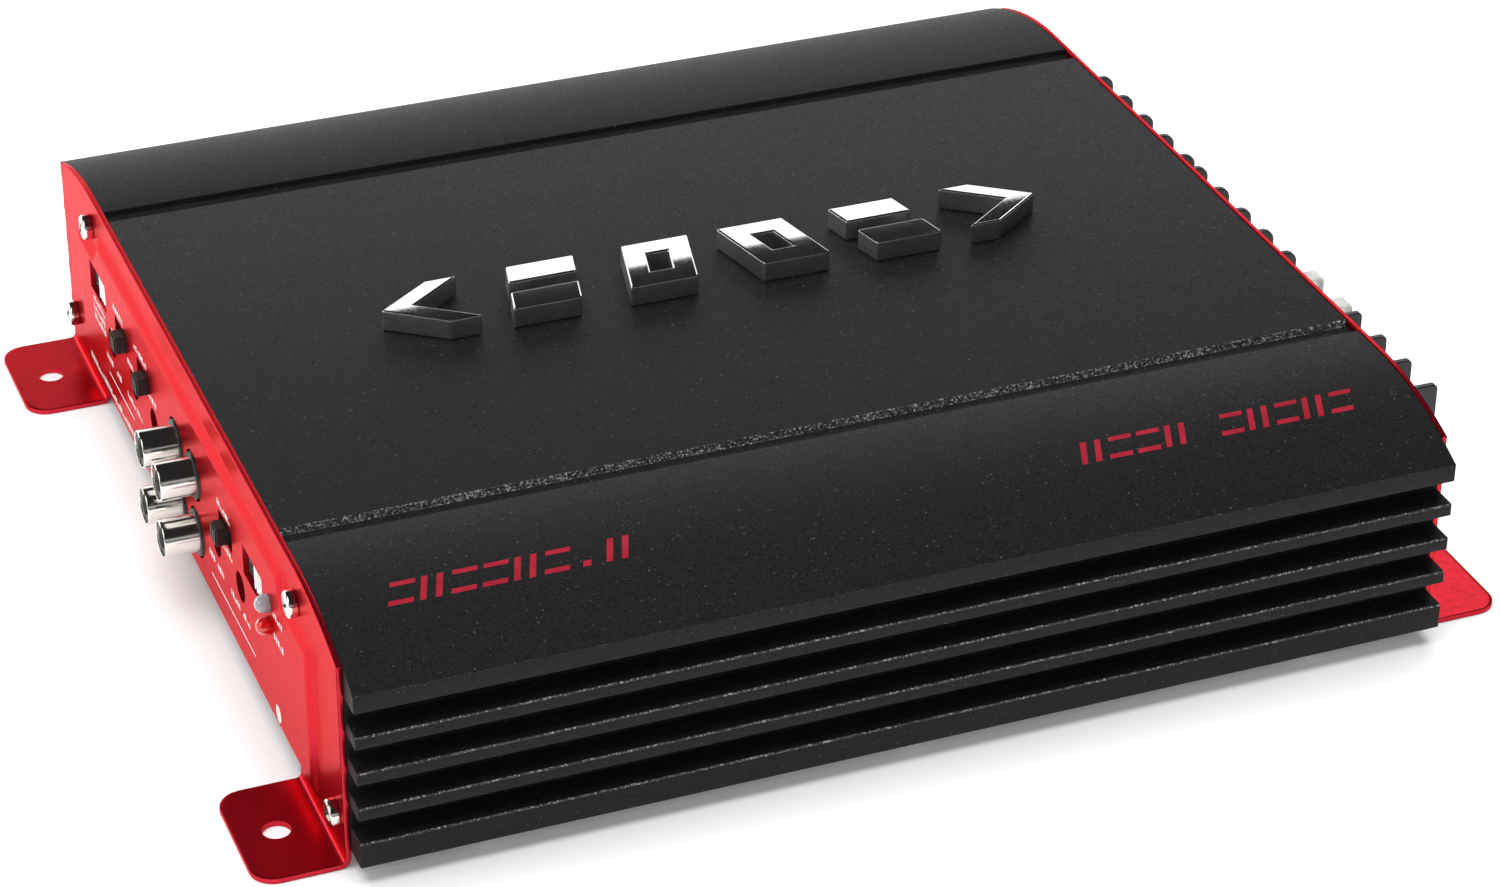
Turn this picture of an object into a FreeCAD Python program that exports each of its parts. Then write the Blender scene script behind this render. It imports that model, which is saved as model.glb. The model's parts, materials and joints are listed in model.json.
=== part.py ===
import FreeCAD, Part
import os
import re
import Sketcher

# Four-channel car amplifier: a finned aluminium extrusion closed by two embossed sheet-steel end plates.
# Millimetres. +X runs along the extrusion, from the signal end (-X) to the power end (+X); the front
# fins face -Y; +Z is up. The origin is on the mounting surface, below the middle of the housing.

SIZES = {
    # extruded housing
    "housing_length": 235, "housing_width": 232, "housing_top": 52.5, "housing_bottom": 4,
    "shoulder_radius": 78.3, "flat_top_half": 80.5,
    "fin_depth": 6.5, "fin_pitch": 8.25, "fin_gap": 5.25, "bottom_fin": 5.9,
    "side_wall": 4, "roof_wall": 5, "roof_slope": 8,
    "trim_groove_centre": 70.05, "trim_groove_width": 4.9, "trim_groove_depth": 1.45,
    "trim_groove_bevel": 0.4,
    "screw_boss_radius": 4.2, "thread_core_radius": 1.65,
    "top_screw_across": 81.9, "top_screw_height": 44.5, "low_screw_across": 104.7, "low_screw_height": 10.4,
    "power_screw_across": 94.5, "power_screw_height": 44.6,
    # end plates
    "sheet": 1.2, "plate_inset": 6.5, "plate_lift": 4.5, "plate_hole_radius": 2.1,
    "tab_reach": 18, "tab_width": 30.7, "tab_corner": 5, "tab_bend": 1.2,
    "tab_hole_radius": 2.9, "tab_hole_reach": 9.5,
    "raise_height": 1.2, "raise_half": 94, "raise_top": 46.5, "raise_foot": 5, "raise_bevel": 2.2,
    "notch_across": 74, "notch_floor": 40.5, "notch_corner": 4,
    # pan-head screws of the end plates, bottom cover and clamp bars
    "pan_radius": 2.9, "pan_height": 2.3, "pan_dome": 5.4, "shank_radius": 1.6, "shank_length": 9,
    "recess_span": 4, "recess_wide": 0.9, "recess_deep": 1.3,
    "cover_screw_spacing": 90, "cover_screw_across": 110, "cover_shank": 6,
    # bottom cover, standoffs and boards
    "cover_length": 234, "cover_width": 226, "standoff_radius": 3, "board_lift": 8.4, "board_thick": 1.6,
    "board_length": 230, "board_width": 199.6,
    # badge
    "badge_height": 4.9, "badge_depth": 18.1, "badge_width": 19.6, "badge_pitch": 26.3, "badge_slant": 4.2,
    "badge_bar": 5.2,
    # phono sockets
    "phono_pitch": 14, "phono_across": -0.9, "phono_height": 24, "phono_shell_radius": 4.15,
    "phono_shell_wall": 0.45, "phono_reach": 8, "phono_seat": 6, "phono_body_size": 28.2,
    "phono_body_depth": 18.4, "phono_collar_radius": 5.2, "phono_hole_radius": 5.7,
    "phono_core_radius": 3.6, "phono_pin_hole": 2.1, "phono_core_set": 0.4, "phono_contact_radius": 1.9,
    "phono_contact_wall": 0.3, "phono_contact_length": 5,
    # small slide switches
    "filter_slot_long": 10, "filter_slot_tall": 5.2, "filter_height": 32, "filter_stem": 4,
    "filter_reach": 2.7, "filter_travel": 5.2, "filter_slider_long": 6, "filter_slider_tall": 5.4,
    "filter_slider_deep": 3.4, "filter_frame_long": 14, "filter_frame_tall": 6.8, "frame_wall": 0.5,
    # large recessed slide switches
    "mode_slot_long": 14.2, "mode_slot_tall": 7, "mode_height": 33.8, "mode_stem_long": 7,
    "mode_stem_tall": 5.8, "mode_recess": 0.3, "mode_travel": 6.4, "mode_slider_long": 9.6,
    "mode_slider_tall": 7.6, "mode_slider_deep": 3.4, "mode_frame_long": 18.4, "mode_frame_tall": 9,
    # trimmers
    "trimmer_height": 24.8, "trimmer_hole": 3.35, "trimmer_rotor_radius": 3, "trimmer_recess": 1.7,
    "trimmer_body": 7.4, "trimmer_body_front": 1.6, "trimmer_slot_wide": 0.8, "trimmer_slot_deep": 1,
    "turning_gap": 0.05,
    # lamps
    "lamp_across": -65.1, "lamp_low": 29.2, "lamp_high": 34.4, "lamp_radius": 1.95, "lamp_reach": 2.8,
    # control board behind the signal plate
    "control_board_set": 7.1, "control_board_low": -74, "control_board_high": 88, "control_board_top": 39.5,
    # terminal blocks
    "speaker_pitch": 10.9, "speaker_rib": 1.5, "speaker_reach": 10.2, "speaker_ways": 4,
    "power_pitch": 11, "power_rib": 1.5, "power_reach": 10.4, "power_ways": 3,
    "block_top": 43.9, "block_tall": 21.7, "block_proud": 1.2, "block_foot_deep": 10, "block_step": 4.3,
    "rib_round": 2.6, "terminal_plate": 8.2, "terminal_plate_thick": 1, "window_gap": 0.4,
    "terminal_head_radius": 3.6, "terminal_head_height": 2.2, "terminal_shank": 1.75, "terminal_grip": 8,
    # fuses and their holder
    "fuse_wide": 19.1, "fuse_thick": 5.1, "fuse_reach": 10.6, "fuse_height": 33.5, "fuse_shoulder": 4.6,
    "fuse_neck": 14.6, "blade_wide": 5.2, "blade_thick": 0.65, "blade_long": 7, "blade_spacing": 9.4,
    "blade_room": 0.25, "holder_long": 20, "holder_across": -39.3, "fuse_spacing": 13,
    # parts on the main board
    "core_outer": 21, "core_inner": 11, "core_tall": 12, "winding_wall": 2.2, "winding_turn": 325,
    "core_spot": -25, "core_across": 18, "capacitor_radius": 8, "capacitor_tall": 25,
    "capacitor_groove": 0.6, "choke_radius": 7, "choke_tall": 13, "choke_hole": 2.5,
    "device_wide": 10, "device_deep": 4.4, "device_tall": 15, "device_low": 17, "device_pitch": 22,
    "device_tab_tall": 3.4, "device_tab_deep": 1.3, "leg_wide": 0.9, "leg_reach": 2.6, "pad_thick": 0.3,
    "bar_long": 132, "bar_tall": 8, "bar_deep": 3, "bar_low": 22,
}
FIN_GAPS = 4
FILTER_SWITCHES = {1: 53.0, 2: 33.7, 3: -33.1}
FILTER_REST = {1: -0.5, 2: -0.5, 3: 0}
MODE_SWITCHES = {1: 73.4, 2: -53.7}
MODE_REST = -0.5
TRIMMERS = {1: 62.9, 2: 42.9, 3: 25.7, 4: -25.0, 5: -43.2}
SPEAKER_BLOCKS = {1: 49.7, 2: -0.55}
POWER_BLOCK = -68.7
BOARD_SPOTS = {"supply_capacitors": [(62, -50), (62, -25), (62, 25), (62, 50)],
               "output_chokes": [(92, 10), (92, 34), (92, 58), (92, 82)]}

doc = FreeCAD.newDocument("car_amplifier")
sheet = doc.addObject("Spreadsheet::Sheet", "dims")
for row, (alias, size) in enumerate(SIZES.items(), start=1):
    sheet.set(f"A{row}", alias)
    sheet.set(f"B{row}", str(size))
    sheet.setAlias(f"B{row}", alias)
doc.recompute()

# Stations along X, as expressions of the sheet: the ends of the extrusion, the outer faces of the flat
# and of the raised sheet, and the inner face of the raised sheet.
END = "housing_length / 2"
PLATE_FACE = "(housing_length / 2 + sheet)"
RAISED_FACE = "(housing_length / 2 + sheet + raise_height)"
RAISED_INSIDE = "(housing_length / 2 + raise_height)"
BOARD_TOP = "(board_lift + board_thick)"
COVER_TOP = "housing_bottom"
PLATE_HALF = "(housing_width / 2 - plate_inset)"
INNER_WALL = "(housing_width / 2 - fin_depth - side_wall)"
CONTROL_BOARD = "(housing_length / 2 - control_board_set)"
X_AXIS = FreeCAD.Vector(1, 0, 0)
Y_AXIS = FreeCAD.Vector(0, 1, 0)
Z_AXIS = FreeCAD.Vector(0, 0, 1)


def bound(text):
    """An expression on the sheet: every alias in the text gets the sheet's name in front."""
    return re.sub(r"[a-z][a-z_]*", lambda word: "dims." + word[0] if word[0] in SIZES else word[0], str(text))


def value(text):
    """The number that such an expression gives now."""
    return float(sheet.evalExpression(bound(text)))


def shoulder_height(across):
    """Height of the housing's outline at a distance from its middle, on the round shoulder."""
    return (f"(housing_top - shoulder_radius + sqrt(shoulder_radius ^ 2 - "
            f"(({across}) - flat_top_half) ^ 2))")


# --- sketches and features ---------------------------------------------------------------------------

def new_body(label):
    return doc.addObject("PartDesign::Body", label)


def new_sketch(body, role, offset=0):
    sketch = body.newObject("Sketcher::SketchObject", "outline")
    plane = next(item for item in body.Origin.OriginFeatures if item.Role == role)
    sketch.AttachmentSupport = [(plane, "")]
    sketch.MapMode = "FlatFace"
    sketch.setExpression(".AttachmentOffset.Base.z", bound(offset))
    return sketch


def pin_coordinate(sketch, kind, curve, point, text):
    index = sketch.addConstraint(Sketcher.Constraint(kind, curve, point, value(text)))
    sketch.setExpression(f"Constraints[{index}]", bound(text))


def add_loop(sketch, corners):
    """A closed loop. A corner is (u, v), or (u, v, cu, cv) where an arc about (cu, cv) starts."""
    first = sketch.GeometryCount
    spots = [(value(corner[0]), value(corner[1])) for corner in corners]
    ends = []
    for index, corner in enumerate(corners):
        here = spots[index]
        there = spots[(index + 1) % len(corners)]
        if len(corner) == 2:
            sketch.addGeometry(Part.LineSegment(FreeCAD.Vector(*here), FreeCAD.Vector(*there)))
            ends.append((1, 2))
            continue
        centre = (value(corner[2]), value(corner[3]))
        turn = (here[0] - centre[0]) * (there[1] - centre[1]) - (here[1] - centre[1]) * (there[0] - centre[0])
        start, finish = (here, there) if turn > 0 else (there, here)
        radius = FreeCAD.Vector(here[0] - centre[0], here[1] - centre[1]).Length
        circle = Part.Circle(FreeCAD.Vector(*centre), Z_AXIS, radius)
        angles = [circle.parameter(FreeCAD.Vector(*spot)) for spot in (start, finish)]
        sketch.addGeometry(Part.ArcOfCircle(circle, *angles))
        ends.append((1, 2) if turn > 0 else (2, 1))
    for index, corner in enumerate(corners):
        curve = first + index
        after = (index + 1) % len(corners)
        sketch.addConstraint(
            Sketcher.Constraint("Coincident", curve, ends[index][1], first + after, ends[after][0]))
        before = corners[index - 1]
        skip_u = skip_v = False
        if len(before) == 4:
            reach_u = abs(spots[index][0] - value(before[2]))
            reach_v = abs(spots[index][1] - value(before[3]))
            skip_u = reach_u > reach_v
            skip_v = not skip_u
        if not skip_u:
            pin_coordinate(sketch, "DistanceX", curve, ends[index][0], corner[0])
        if not skip_v:
            pin_coordinate(sketch, "DistanceY", curve, ends[index][0], corner[1])
        if len(corner) == 4:
            pin_coordinate(sketch, "DistanceX", curve, 3, corner[2])
            pin_coordinate(sketch, "DistanceY", curve, 3, corner[3])


def add_rectangle(sketch, middle_u, middle_v, wide, tall):
    left, right = f"({middle_u}) - ({wide}) / 2", f"({middle_u}) + ({wide}) / 2"
    low, high = f"({middle_v}) - ({tall}) / 2", f"({middle_v}) + ({tall}) / 2"
    add_loop(sketch, [(left, low), (right, low), (right, high), (left, high)])


def add_circle(sketch, middle_u, middle_v, radius):
    centre = FreeCAD.Vector(value(middle_u), value(middle_v))
    curve = sketch.addGeometry(Part.Circle(centre, Z_AXIS, value(radius)))
    pin_coordinate(sketch, "DistanceX", curve, 3, middle_u)
    pin_coordinate(sketch, "DistanceY", curve, 3, middle_v)
    index = sketch.addConstraint(Sketcher.Constraint("Radius", curve, value(radius)))
    sketch.setExpression(f"Constraints[{index}]", bound(radius))


def pad(body, sketch, length, flipped=False, both_ways=False):
    feature = body.newObject("PartDesign::Pad", "pad")
    feature.Profile = sketch
    feature.setExpression("Length", bound(length))
    feature.SideType = "Symmetric" if both_ways else "One side"
    feature.Reversed = flipped
    body.Tip = feature
    return feature


def pocket(body, sketch):
    """A pocket through the whole piece, to both sides of its sketch."""
    feature = body.newObject("PartDesign::Pocket", "pocket")
    feature.Profile = sketch
    feature.Type = "ThroughAll"
    feature.SideType = "Symmetric"
    body.Tip = feature
    return feature


def blind_pocket(body, sketch, depth, flipped=False):
    feature = body.newObject("PartDesign::Pocket", "blind_pocket")
    feature.Profile = sketch
    feature.Type = "Length"
    feature.setExpression("Length", bound(depth))
    feature.Reversed = flipped
    body.Tip = feature
    return feature


def loft(body, kind, sketches):
    feature = body.newObject(kind, "loft")
    feature.Profile = sketches[0]
    feature.Sections = sketches[1:]
    feature.Ruled = True
    body.Tip = feature
    return feature


def round_edges(body, radius, chosen):
    """Fillets the edges of the body so far whose bounding box passes the test."""
    doc.recompute()
    base = body.Tip
    names = [f"Edge{index}" for index, edge in enumerate(base.Shape.Edges, start=1) if chosen(edge.BoundBox)]
    feature = body.newObject("PartDesign::Fillet", "rounding")
    feature.Base = (base, names)
    feature.setExpression("Radius", bound(radius))
    body.Tip = feature
    return feature


# --- primitives, booleans and groups -------------------------------------------------------------------

def place(item, spot, axis=None):
    if axis is not None:
        item.Placement = FreeCAD.Placement(FreeCAD.Vector(), FreeCAD.Rotation(Z_AXIS, axis))
    for letter, text in zip("xyz", spot):
        item.setExpression(f".Placement.Base.{letter}", bound(text))
    return item


def box(low, size):
    """A box from its lowest corner and its size, both as expressions."""
    item = doc.addObject("Part::Box", "box")
    for side, text in zip(("Length", "Width", "Height"), size):
        item.setExpression(side, bound(text))
    return place(item, low)


def centred_box(x_low, x_high, middle_y, middle_z, wide, tall):
    """A box between two stations along X, centred across on a height."""
    low = (x_low, f"({middle_y}) - ({wide}) / 2", f"({middle_z}) - ({tall}) / 2")
    return box(low, (f"({x_high}) - ({x_low})", wide, tall))


def rod(spot, radius, length, axis=Z_AXIS):
    item = doc.addObject("Part::Cylinder", "rod")
    item.setExpression("Radius", bound(radius))
    item.setExpression("Height", bound(length))
    return place(item, spot, axis)


def ball(spot, radius):
    item = doc.addObject("Part::Sphere", "ball")
    item.setExpression("Radius", bound(radius))
    return place(item, spot)


def fused(*pieces):
    item = doc.addObject("Part::MultiFuse", "fused")
    item.Shapes = list(pieces)
    item.Refine = True
    return item


def shared(*pieces):
    item = doc.addObject("Part::MultiCommon", "shared")
    item.Shapes = list(pieces)
    return item


def cut(base, *tools):
    item = doc.addObject("Part::Cut", "cut")
    item.Base = base
    item.Tool = tools[0] if len(tools) == 1 else fused(*tools)
    item.Refine = True
    return item


def grouped(*pieces):
    """Separate solids that share one node."""
    item = doc.addObject("Part::Compound", "group")
    item.Links = list(pieces)
    return item


# --- housing ---------------------------------------------------------------------------------------------

def heatsink():
    body = new_body("heatsink")
    outer = new_sketch(body, "YZ_Plane")
    half = "(housing_width / 2)"
    crease = shoulder_height(half)
    arc_level = "housing_top - shoulder_radius"
    add_loop(outer, [(f"0 - {half}", "housing_bottom"), (half, "housing_bottom"),
                     (half, crease, "flat_top_half", arc_level), ("flat_top_half", "housing_top"),
                     ("0 - flat_top_half", "housing_top", "0 - flat_top_half", arc_level),
                     (f"0 - {half}", crease)])
    pad(body, outer, "housing_length", both_ways=True)
    pocket(body, fin_gap_sketch(body))
    pocket(body, trim_groove_sketch(body))
    pocket(body, cavity_sketch(body))
    pad(body, channel_sketch(body, "screw_boss_radius"), "housing_length", both_ways=True)
    pocket(body, channel_sketch(body, "thread_core_radius"))
    cover_holes = new_sketch(body, "XY_Plane", "housing_bottom")
    for x, y in cover_screw_spots():
        add_circle(cover_holes, x, y, "thread_core_radius")
    blind_pocket(body, cover_holes, "bottom_fin - 0.6", flipped=True)
    return body


def fin_gap_sketch(body):
    """Four open-ended gaps on each side, which leave the lip and four fins below it."""
    sketch = new_sketch(body, "YZ_Plane")
    for side in (-1, 1):
        for gap in range(FIN_GAPS):
            low = f"housing_bottom + bottom_fin + {gap} * fin_pitch"
            add_rectangle(sketch, f"{side} * (housing_width - fin_depth) / 2", f"{low} + fin_gap / 2",
                          "fin_depth", "fin_gap")
    return sketch


def trim_groove_sketch(body):
    """Two grooves along the flat top, each with a bevelled wall on the side nearest the middle."""
    sketch = new_sketch(body, "YZ_Plane")
    for side in (-1, 1):
        outside = f"{side} * (trim_groove_centre + trim_groove_width / 2)"
        inside = f"{side} * (trim_groove_centre - trim_groove_width / 2)"
        foot = f"{side} * (trim_groove_centre - trim_groove_width / 2 + trim_groove_bevel)"
        floor = "housing_top - trim_groove_depth"
        add_loop(sketch, [(outside, "housing_top"), (outside, floor), (foot, floor), (inside, "housing_top")])
    return sketch


def cavity_sketch(body):
    """The inside of the extrusion, open at the bottom, with sloping corners under the shoulders."""
    sketch = new_sketch(body, "YZ_Plane")
    roof = "housing_top - roof_wall"
    eave = "housing_top - roof_wall - 2 - roof_slope"
    add_loop(sketch, [(f"0 - {INNER_WALL}", "housing_bottom"), (INNER_WALL, "housing_bottom"),
                      (INNER_WALL, eave), (f"{INNER_WALL} - roof_slope * 2", roof),
                      (f"0 - {INNER_WALL} + roof_slope * 2", roof), (f"0 - {INNER_WALL}", eave)])
    return sketch


def channel_sketch(body, radius):
    """The screw channels that run the length of the extrusion: the low pair serves both ends."""
    sketch = new_sketch(body, "YZ_Plane")
    for kind in ("top", "low", "power"):
        for side in (-1, 1):
            add_circle(sketch, f"{side} * {kind}_screw_across", f"{kind}_screw_height", radius)
    return sketch


def bottom_cover():
    body = new_body("bottom_cover")
    outline = new_sketch(body, "XY_Plane", f"{COVER_TOP} - sheet")
    add_rectangle(outline, 0, 0, "cover_length", "cover_width")
    pad(body, outline, "sheet")
    holes = new_sketch(body, "XY_Plane")
    for x, y in cover_screw_spots():
        add_circle(holes, x, y, "thread_core_radius + 0.25")
    pocket(body, holes)
    return body


def cover_screw_spots():
    return [(f"{step} * cover_screw_spacing", f"{side} * cover_screw_across")
            for step in (-1, 0, 1) for side in (-1, 1)]


def bottom_cover_screws():
    screws = [pan_screw((x, y, f"{COVER_TOP} - sheet"), FreeCAD.Vector(0, 0, -1), "cover_shank", 0.7)
              for x, y in cover_screw_spots()]
    return grouped(*screws)


def pan_screw(seat, outward, shank, scale=1):
    """A pan-head screw with a cross recess. seat is the middle of the face that the head sits on."""
    radius, height = f"(pan_radius * {scale})", f"(pan_height * {scale})"
    dome = f"(pan_dome * {scale})"
    head = shared(rod((0, 0, 0), radius, height), ball((0, 0, f"{height} - {dome}"), dome))
    shaft = rod((0, 0, f"0 - {shank}"), "shank_radius", shank)
    span, wide, deep = (f"({alias} * {scale})" for alias in ("recess_span", "recess_wide", "recess_deep"))
    bars = [box((f"0 - {long} / 2", f"0 - {short} / 2", f"{height} - {deep}"), (long, short, deep))
            for long, short in ((span, wide), (wide, span))]
    return place(cut(fused(head, shaft), *bars), seat, outward)


# --- end plates --------------------------------------------------------------------------------------------

def end_plate(label, side, openings):
    """side is -1 for the signal end and 1 for the power end."""
    body = new_body(label)
    flat = new_sketch(body, "YZ_Plane", f"{side} * {END}")
    tab_inner = f"({PLATE_HALF} - tab_width)"
    corner = shoulder_height(PLATE_HALF)
    arc_level = "housing_top - shoulder_radius"
    bend_top = "sheet + tab_bend"
    add_loop(flat, [(f"0 - {PLATE_HALF}", bend_top), (f"0 - {tab_inner}", bend_top),
                    (f"0 - {tab_inner}", "plate_lift"), (tab_inner, "plate_lift"), (tab_inner, bend_top),
                    (PLATE_HALF, bend_top), (PLATE_HALF, corner, "flat_top_half", arc_level),
                    ("flat_top_half", "housing_top"),
                    ("0 - flat_top_half", "housing_top", "0 - flat_top_half", arc_level),
                    (f"0 - {PLATE_HALF}", corner)])
    pad(body, flat, "sheet", flipped=side < 0)
    for hand in (-1, 1):
        pad(body, tab_sketch(body, side, hand), "tab_width", both_ways=True)
    round_tab_corners(body, side)
    tab_holes = new_sketch(body, "XY_Plane")
    for hand in (-1, 1):
        add_circle(tab_holes, f"{side} * ({PLATE_FACE} + tab_hole_reach)",
                   f"{hand} * ({PLATE_HALF} - tab_width / 2)", "tab_hole_radius")
    pocket(body, tab_holes)
    raise_panel(body, side)
    holes = new_sketch(body, "YZ_Plane")
    for y, z in plate_screw_spots(side):
        add_circle(holes, y, z, "plate_hole_radius")
    for shape, *sizes in openings:
        (add_rectangle if shape == "window" else add_circle)(holes, *sizes)
    pocket(body, holes)
    return body


def tab_sketch(body, side, hand):
    """Side view of a fold-out tab: sheet that comes down from the plate and bends outward."""
    sketch = new_sketch(body, "XZ_Plane", f"{-hand} * ({PLATE_HALF} - tab_width / 2)")
    inner, outer = f"{side} * {END}", f"{side} * {PLATE_FACE}"
    bend_x = f"{side} * ({PLATE_FACE} + tab_bend)"
    tip = f"{side} * ({PLATE_FACE} + tab_reach)"
    bend_z = "sheet + tab_bend"
    add_loop(sketch, [(inner, f"{bend_z} + 1"), (inner, bend_z, bend_x, bend_z), (bend_x, 0), (tip, 0),
                      (tip, "sheet"), (bend_x, "sheet", bend_x, bend_z), (outer, bend_z),
                      (outer, f"{bend_z} + 1")])
    return sketch


def round_tab_corners(body, side):
    tip = value(f"{side} * ({PLATE_FACE} + tab_reach)")
    sheet_thick = value("sheet")

    def at_tab_corner(bounds):
        upright = abs(bounds.ZLength - sheet_thick) < 0.01 and bounds.YLength < 0.01
        return upright and bounds.XLength < 0.01 and abs(bounds.XMin - tip) < 0.01

    round_edges(body, "tab_corner", at_tab_corner)


def raise_panel(body, side):
    """Presses the middle of the plate outward: a loft added outside and the same one removed inside."""
    levels = {"PartDesign::AdditiveLoft": PLATE_FACE, "PartDesign::SubtractiveLoft": f"({END})"}
    for kind, foot in levels.items():
        sketches = []
        for step, inset in ((0, "0"), (1, "raise_bevel")):
            sketch = new_sketch(body, "YZ_Plane", f"{side} * ({foot} + {step} * raise_height)")
            add_loop(sketch, raised_outline(inset))
            sketches.append(sketch)
        loft(body, kind, sketches)


def raised_outline(inset):
    """Outline of the raised panel, with a cut corner round each upper screw."""
    top, foot = f"raise_top - {inset}", f"raise_foot + {inset}"
    half, shelf = f"(raise_half - {inset} * 1.6)", f"notch_floor - {inset}"
    notch = f"(notch_across - {inset})"
    return [(f"0 - {half}", foot), (half, foot), (half, shelf), (f"{notch} + notch_corner", shelf),
            (notch, f"{shelf} + notch_corner"), (notch, top), (f"0 - {notch}", top),
            (f"0 - {notch}", f"{shelf} + notch_corner"), (f"0 - {notch} - notch_corner", shelf),
            (f"0 - {half}", shelf)]


def signal_openings():
    openings = [("window", y, "filter_height", "filter_slot_long", "filter_slot_tall")
                for y in FILTER_SWITCHES.values()]
    openings += [("window", y, "mode_height", "mode_slot_long", "mode_slot_tall")
                 for y in MODE_SWITCHES.values()]
    openings += [("circle", y, "trimmer_height", "trimmer_hole") for y in TRIMMERS.values()]
    openings += [("circle", y, z, "phono_hole_radius") for y, z in phono_spots().values()]
    openings += [("circle", "lamp_across", z, "lamp_radius + 0.1") for z in ("lamp_low", "lamp_high")]
    return openings


def power_openings():
    tall = "block_tall + 2 * window_gap"
    middle = "block_top - block_tall / 2"
    openings = [("window", y, middle, f"{block_width('speaker')} + 2 * window_gap", tall)
                for y in SPEAKER_BLOCKS.values()]
    openings.append(("window", POWER_BLOCK, middle, f"{block_width('power')} + 2 * window_gap", tall))
    openings.append(("window", "holder_across", middle, "holder_long + 2 * window_gap", tall))
    return openings


def plate_screw_spots(side):
    """The power plate's upper pair sits further out, clear of the terminal blocks."""
    upper = "power" if side > 0 else "top"
    return [(f"{hand} * {kind}_screw_across", f"{kind}_screw_height") for hand in (-1, 1)
            for kind in (upper, "low")]


def plate_screws(side):
    screws = [pan_screw((f"{side} * {PLATE_FACE}", y, z), X_AXIS * side, "shank_length")
              for y, z in plate_screw_spots(side)]
    return grouped(*screws)


# --- badge ---------------------------------------------------------------------------------------------------

def badge():
    """Six plain ornaments in a row on the flat top, the same from both ends of the row."""
    pieces = []
    for place_in_row, makers in enumerate((arrow, bars, frame, frame, bars, arrow)):
        mirror = -1 if place_in_row < 3 else 1
        middle = f"({place_in_row - 2.5} * badge_pitch)"
        for loops in makers(middle, mirror):
            pieces.append(badge_piece(loops))
    return grouped(*pieces)


def badge_piece(loops):
    body = new_body("badge_piece")
    sketch = new_sketch(body, "XY_Plane", "housing_top")
    for loop in loops:
        add_loop(sketch, loop)
    pad(body, sketch, "badge_height")
    return body


def slanted(middle, mirror, across, along):
    """A point of an ornament: across its slanted width, along its depth, both from its middle."""
    return (f"{middle} + {mirror} * (({across}) - ({along}) / badge_depth * badge_slant)", along)


def arrow(middle, mirror):
    half, deep = "badge_width / 2", "badge_depth / 2"
    spots = [(f"0 - {half}", f"0 - {deep}"), (f"0 - {half} + badge_bar * 1.4", f"0 - {deep}"),
             (half, "0"), (f"0 - {half} + badge_bar * 1.4", deep), (f"0 - {half}", deep),
             (f"{half} - badge_bar * 1.4", "0")]
    return [[[(f"{middle} + {mirror} * ({across})", along) for across, along in spots]]]


def bars(middle, mirror):
    half, deep = "badge_width / 2 - badge_slant / 2", "badge_depth / 2"
    tall = "badge_bar * 1.35"
    pieces = []
    for side in (-1, 1):
        low, high = (f"{deep} - {tall}", deep) if side > 0 else (f"0 - {deep}", f"{tall} - {deep}")
        pieces.append([[slanted(middle, mirror, f"0 - {half}", low), slanted(middle, mirror, half, low),
                        slanted(middle, mirror, half, high), slanted(middle, mirror, f"0 - {half}", high)]])
    return pieces


def frame(middle, mirror):
    loops = []
    for inset in ("0", "badge_bar"):
        half, deep = f"(badge_width / 2 - badge_slant / 2 - {inset})", f"(badge_depth / 2 - {inset})"
        loops.append([slanted(middle, mirror, f"0 - {half}", f"0 - {deep}"),
                      slanted(middle, mirror, half, f"0 - {deep}"),
                      slanted(middle, mirror, half, deep), slanted(middle, mirror, f"0 - {half}", deep)])
    return [loops]


# --- phono sockets ---------------------------------------------------------------------------------------

def phono_spots():
    """Middle of each socket: 1 and 2 above, 3 and 4 below; odd ones to the back."""
    return {number: (f"(phono_across + {hand} * phono_pitch / 2)", f"(phono_height + {level} * phono_pitch / 2)")
            for number, (hand, level) in {1: (1, 1), 2: (-1, 1), 3: (1, -1), 4: (-1, -1)}.items()}


def phono_housing():
    front = f"0 - {RAISED_INSIDE}"
    block = centred_box(front, f"{front} + phono_body_depth", "phono_across", "phono_height",
                        "phono_body_size", "phono_body_size - 0.2")
    collars = [rod((f"0 - {RAISED_FACE} - 0.5", y, z), "phono_collar_radius", "raise_height + 1", X_AXIS)
               for y, z in phono_spots().values()]
    seats = [rod((f"0 - {RAISED_FACE} - 1", y, z), "phono_shell_radius", "phono_seat + 1", X_AXIS)
             for y, z in phono_spots().values()]
    return cut(fused(block, *collars), *seats)


def phono_shell(number):
    y, z = phono_spots()[number]
    start = f"0 - {RAISED_FACE} - phono_reach"
    length = "phono_reach + phono_seat"
    tube = rod((start, y, z), "phono_shell_radius", length, X_AXIS)
    inside = rod((start, y, z), "phono_shell_radius - phono_shell_wall", f"{length} - 1", X_AXIS)
    return cut(tube, inside)


def phono_insulators():
    cores = []
    for y, z in phono_spots().values():
        start = f"0 - {RAISED_FACE} - phono_reach + phono_core_set"
        length = "phono_reach + phono_seat - phono_core_set - 1"
        core = rod((start, y, z), "phono_core_radius", length, X_AXIS)
        hole = rod((start, y, z), "phono_pin_hole", f"{length} - 2", X_AXIS)
        cores.append(cut(core, hole))
    return grouped(*cores)


def phono_contacts():
    tubes = []
    for y, z in phono_spots().values():
        start = f"0 - {RAISED_FACE} + phono_seat - 3 - phono_contact_length"
        outer = rod((start, y, z), "phono_contact_radius", "phono_contact_length", X_AXIS)
        inner = rod((start, y, z), "phono_contact_radius - phono_contact_wall", "phono_contact_length - 1", X_AXIS)
        tubes.append(cut(outer, inner))
    return grouped(*tubes)


# --- switches, trimmers and lamps ------------------------------------------------------------------------

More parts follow.
